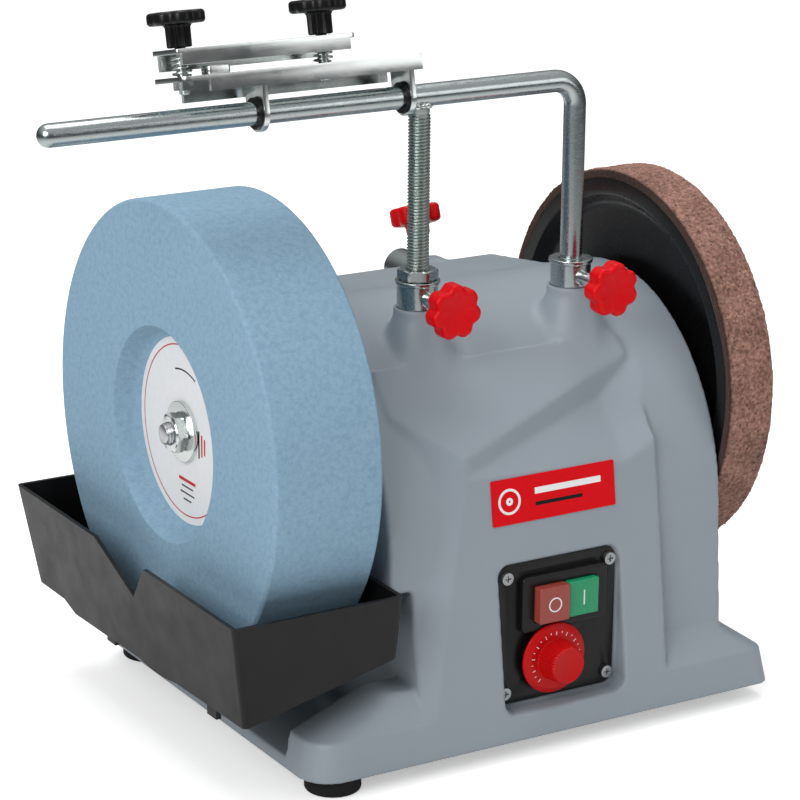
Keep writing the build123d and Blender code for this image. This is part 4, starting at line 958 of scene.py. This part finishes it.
# ---- jig ----------------------------------------------------------------------------------------
JIG_UP = Vector(joint("clamp_slide")["axis"]).normalized()
JIG_ACROSS = Vector((1, 0, 0)).cross(JIG_UP) * -1
JIG_X = {side: joint(f"clamp_knob_{side}_turn")["pos_m"][0] for side in ("left", "right")}
JIG_TOP = 21.6 * MM
KNOB_BASE = 36 * MM
KNOB_HUB = 11.5 * MM


def jig_point(x, height):
    return Vector((x, LEG_Y, BAR_Z)) + JIG_UP * height


def make_jig():
    softened("jig_base_plate", "jig_base", 0.7 * MM, "zinc", "jig", 40, 3)
    softened("jig_clamp_bar", "jig_channel", 0.8 * MM, "zinc", "clamp", 40, 3)
    softened("jig_stop", "jig_stop_block", 0.7 * MM, "zinc", "jig", 40, 3)
    keep("jig_bushes", "black")
    for side in ("left", "right"):
        x = JIG_X[side]
        turned = Turned(jig_point(x, KNOB_BASE + KNOB_HUB), JIG_UP)
        lobed_knob(
            f"clamp_star_{side}", turned, KNOB_RADIUS, 1.8 * MM, 6.5 * MM, KNOB_HUB,
            ribbed(6.4 * MM, 1.1 * MM, 12), f"clamp_knob_{side}", "black",
            f"jig_knob_{side}", phase=0.2,
        )
        turned = Turned(jig_point(x, JIG_TOP - 9 * MM), JIG_UP)
        rows = [turned.ring(0, 2.2 * MM, 28)]
        rows += thread_rows(turned, 0.3 * MM, 35 * MM, 3 * MM, 1.0 * MM, 28)
        screw = skin(f"clamp_screw_{side}", rows, sharp=70)
        piece(f"clamp_screw_{side}", screw, "zinc", f"clamp_knob_{side}", [f"jig_screw_{side}"])
        turns, height, coil = 4.5, 10.6 * MM, 4.6 * MM
        base = jig_point(x, JIG_TOP + 0.6 * MM)
        path = []
        for k in range(int(turns * 24) + 1):
            a = TURN * k / 24
            out = Vector((1, 0, 0)) * math.cos(a) + JIG_ACROSS * math.sin(a)
            path.append(base + out * coil + JIG_UP * (height * k / (turns * 24)))
        mesh = tube(f"clamp_spring_{side}", path, 0.55 * MM, 10)
        spring = piece(f"clamp_spring_{side}", mesh, "zinc", None, ["jig_springs"])
        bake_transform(spring)


make_jig()


# ---- water tray ---------------------------------------------------------------------------------
softened("water_tray", "tray", 0.9 * MM, "tray", "tray", 30, 3)


# ---- control panel ------------------------------------------------------------------------------
def bar_mark(name, low, high, material, body):
    """A small raised mark, as a box with softened corners."""
    mesh = bpy.data.meshes.new(name)
    bm = bmesh.new()
    bmesh.ops.create_cube(bm, size=1.0)
    size = Vector(high) - Vector(low)
    bmesh.ops.scale(bm, vec=size, verts=bm.verts)
    bmesh.ops.translate(bm, vec=(Vector(high) + Vector(low)) / 2, verts=bm.verts)
    bmesh.ops.bevel(
        bm, geom=bm.edges[:], offset=min(size) * 0.3, segments=2, affect="EDGES", clamp_overlap=True
    )
    bm.to_mesh(mesh)
    bm.free()
    finish_mesh(mesh, 40)
    return piece(name, mesh, material, body)


def make_panel():
    softened("panel_plate", "control_plate", 0.4 * MM, "black", "machine", 40, 2)
    softened("switch_body", "switch_frame", 0.8 * MM, "black", "machine", 40, 3)
    softened("button_off", "button_off_cap", 0.7 * MM, "off", "off_button", 40, 3)
    softened("button_on", "button_on_cap", 0.7 * MM, "on", "on_button", 40, 3)
    keep("panel_screws", "screw")
    keep("potentiometer", "dark_steel")
    off_low = BOX["button_off"][0]
    off = Turned((middle("button_off").x, off_low.y, middle("button_off").z), (0, -1, 0))
    flat_ring("off_mark", off, 3.4 * MM, 4.1 * MM, 0.12 * MM, "ink_white", "off_button")
    on_low = BOX["button_on"][0]
    x, z = middle("button_on").x, middle("button_on").z
    bar_mark("on_mark", (x - 0.4 * MM, on_low.y - 0.12 * MM, z - 4.2 * MM),
             (x + 0.4 * MM, on_low.y + 0.1 * MM, z + 4.2 * MM), "ink_white", "on_button")


def make_dial():
    """Speed knob: a flat skirt with a scale, and a grip with fine flutes round its side."""
    low, high = BOX["speed_dial"]
    centre = middle("speed_dial")
    turned = Turned((centre.x, 0, centre.z), (0, -1, 0))
    back, front = -high.y, -low.y  # distances run towards the user
    skirt_back, skirt_face, skirt = 116.4 * MM, 119.4 * MM, 19.7 * MM
    plain = rounded(
        [(back, 3 * MM), (back, 14 * MM), (skirt_back, 14 * MM), (skirt_back, skirt),
         (skirt_back + 1.2 * MM, skirt), (skirt_face, 16.5 * MM), (skirt_face, 12.2 * MM)],
        [0, 0, 0, 0.3 * MM, 0.5 * MM, 0.8 * MM, 0],
    )
    rows = [turned.ring(h, r, 240) for h, r in plain]
    grip = rounded(
        [(skirt_face, 12.0 * MM), (skirt_face + 0.3 * MM, 11.6 * MM),
         (front - 1.2 * MM, 10.5 * MM), (front, 9.6 * MM)],
        [0, 0.3 * MM, 0.9 * MM, 0],
    )
    rows += [turned.ring(h, ribbed(r, 0.45 * MM, 40), 240) for h, r in grip]
    rows += [turned.ring(front, 8.6 * MM, 240), turned.ring(front - 0.35 * MM, 7.8 * MM, 240)]
    rows.append(turned.ring(front - 0.35 * MM, 0.01 * MM, 240))
    piece("dial_knob", skin("dial_knob", rows, sharp=35), "dial", "dial", ["speed_dial"])
    for k in range(21):
        a = math.radians(-135 + 13.5 * k)
        out = Vector((math.sin(a), 0, math.cos(a)))
        side = Vector((math.cos(a), 0, -math.sin(a)))
        long_mark = k % 2 == 0
        spot = Vector((centre.x, -skirt_face, centre.z)) + out * (14.6 if long_mark else 15.1) * MM
        plate(f"dial_tick_{k}", spot, out, side, (2.0 if long_mark else 1.0) * MM, 0.35 * MM, 0.06 * MM,
              "ink_white", "dial")


make_panel()
make_dial()


def make_badge():
    """Red foil badge with a plain wheel sign and two bars."""
    keep("badge", "badge")
    low, high = BOX["badge"]
    size = high - low
    lean = math.atan2(0.14, 1.0)
    up = Vector((0, math.sin(lean), math.cos(lean)))
    out = Vector((0, -math.cos(lean), math.sin(lean)))
    right = Vector((1, 0, 0))
    face = (low + high) / 2 + out * 0.3 * MM
    wheel = Turned(face - right * 0.36 * size.x, out)
    flat_ring("badge_wheel", wheel, 5.6 * MM, 7.0 * MM, INK, "ink_white", "machine")
    flat_ring("badge_wheel_eye", wheel, 0.6 * MM, 2.1 * MM, INK, "ink_white", "machine")
    plate("badge_bar_top", face + right * 9 * MM + up * 3.4 * MM, right, up, 42 * MM, 3.4 * MM, INK,
          "ink_white", "machine")
    plate("badge_bar_low", face + right * 3 * MM - up * 3.6 * MM, right, up, 30 * MM, 2.0 * MM, INK,
          "ink_black", "machine")


make_badge()

for name, material in (
    ("base_plate", "dark_steel"), ("rubber_feet", "rubber"), ("foot_screws", "zinc"),
    ("shaft_bushes", "bronze"), ("control_board", "board"), ("cable_gland", "black"),
    ("pivot_rod", "steel"), ("pivot_brackets", "dark_steel"),
    ("retaining_rings", "dark_steel"), ("drive_wheel", "black"), ("drive_tyre", "rubber"),
    ("motor_cradle", "dark_steel"), ("motor_can", "dark_steel"), ("motor_end_bells", "steel"),
    ("stator", "copper"), ("rotor_core", "dark_steel"), ("motor_shaft", "steel"), ("drive_pinion", "steel"),
):
    keep(name, material)


def make_cradle_spring():
    low, high = BOX["cradle_spring"]
    centre = (low + high) / 2
    wire = 0.8 * MM
    coil = (high.x - low.x) / 2 - wire
    turns = 7
    path = []
    for k in range(turns * 24 + 1):
        a = TURN * k / 24
        share = k / (turns * 24)
        path.append((centre.x + coil * math.cos(a), centre.y + coil * math.sin(a),
                     low.z + wire + (high.z - low.z - 2 * wire) * share))
    spring = piece("cradle_coil", tube("cradle_coil", path, wire, 10), "zinc", None,
                   ["cradle_spring"])
    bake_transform(spring)


make_cradle_spring()
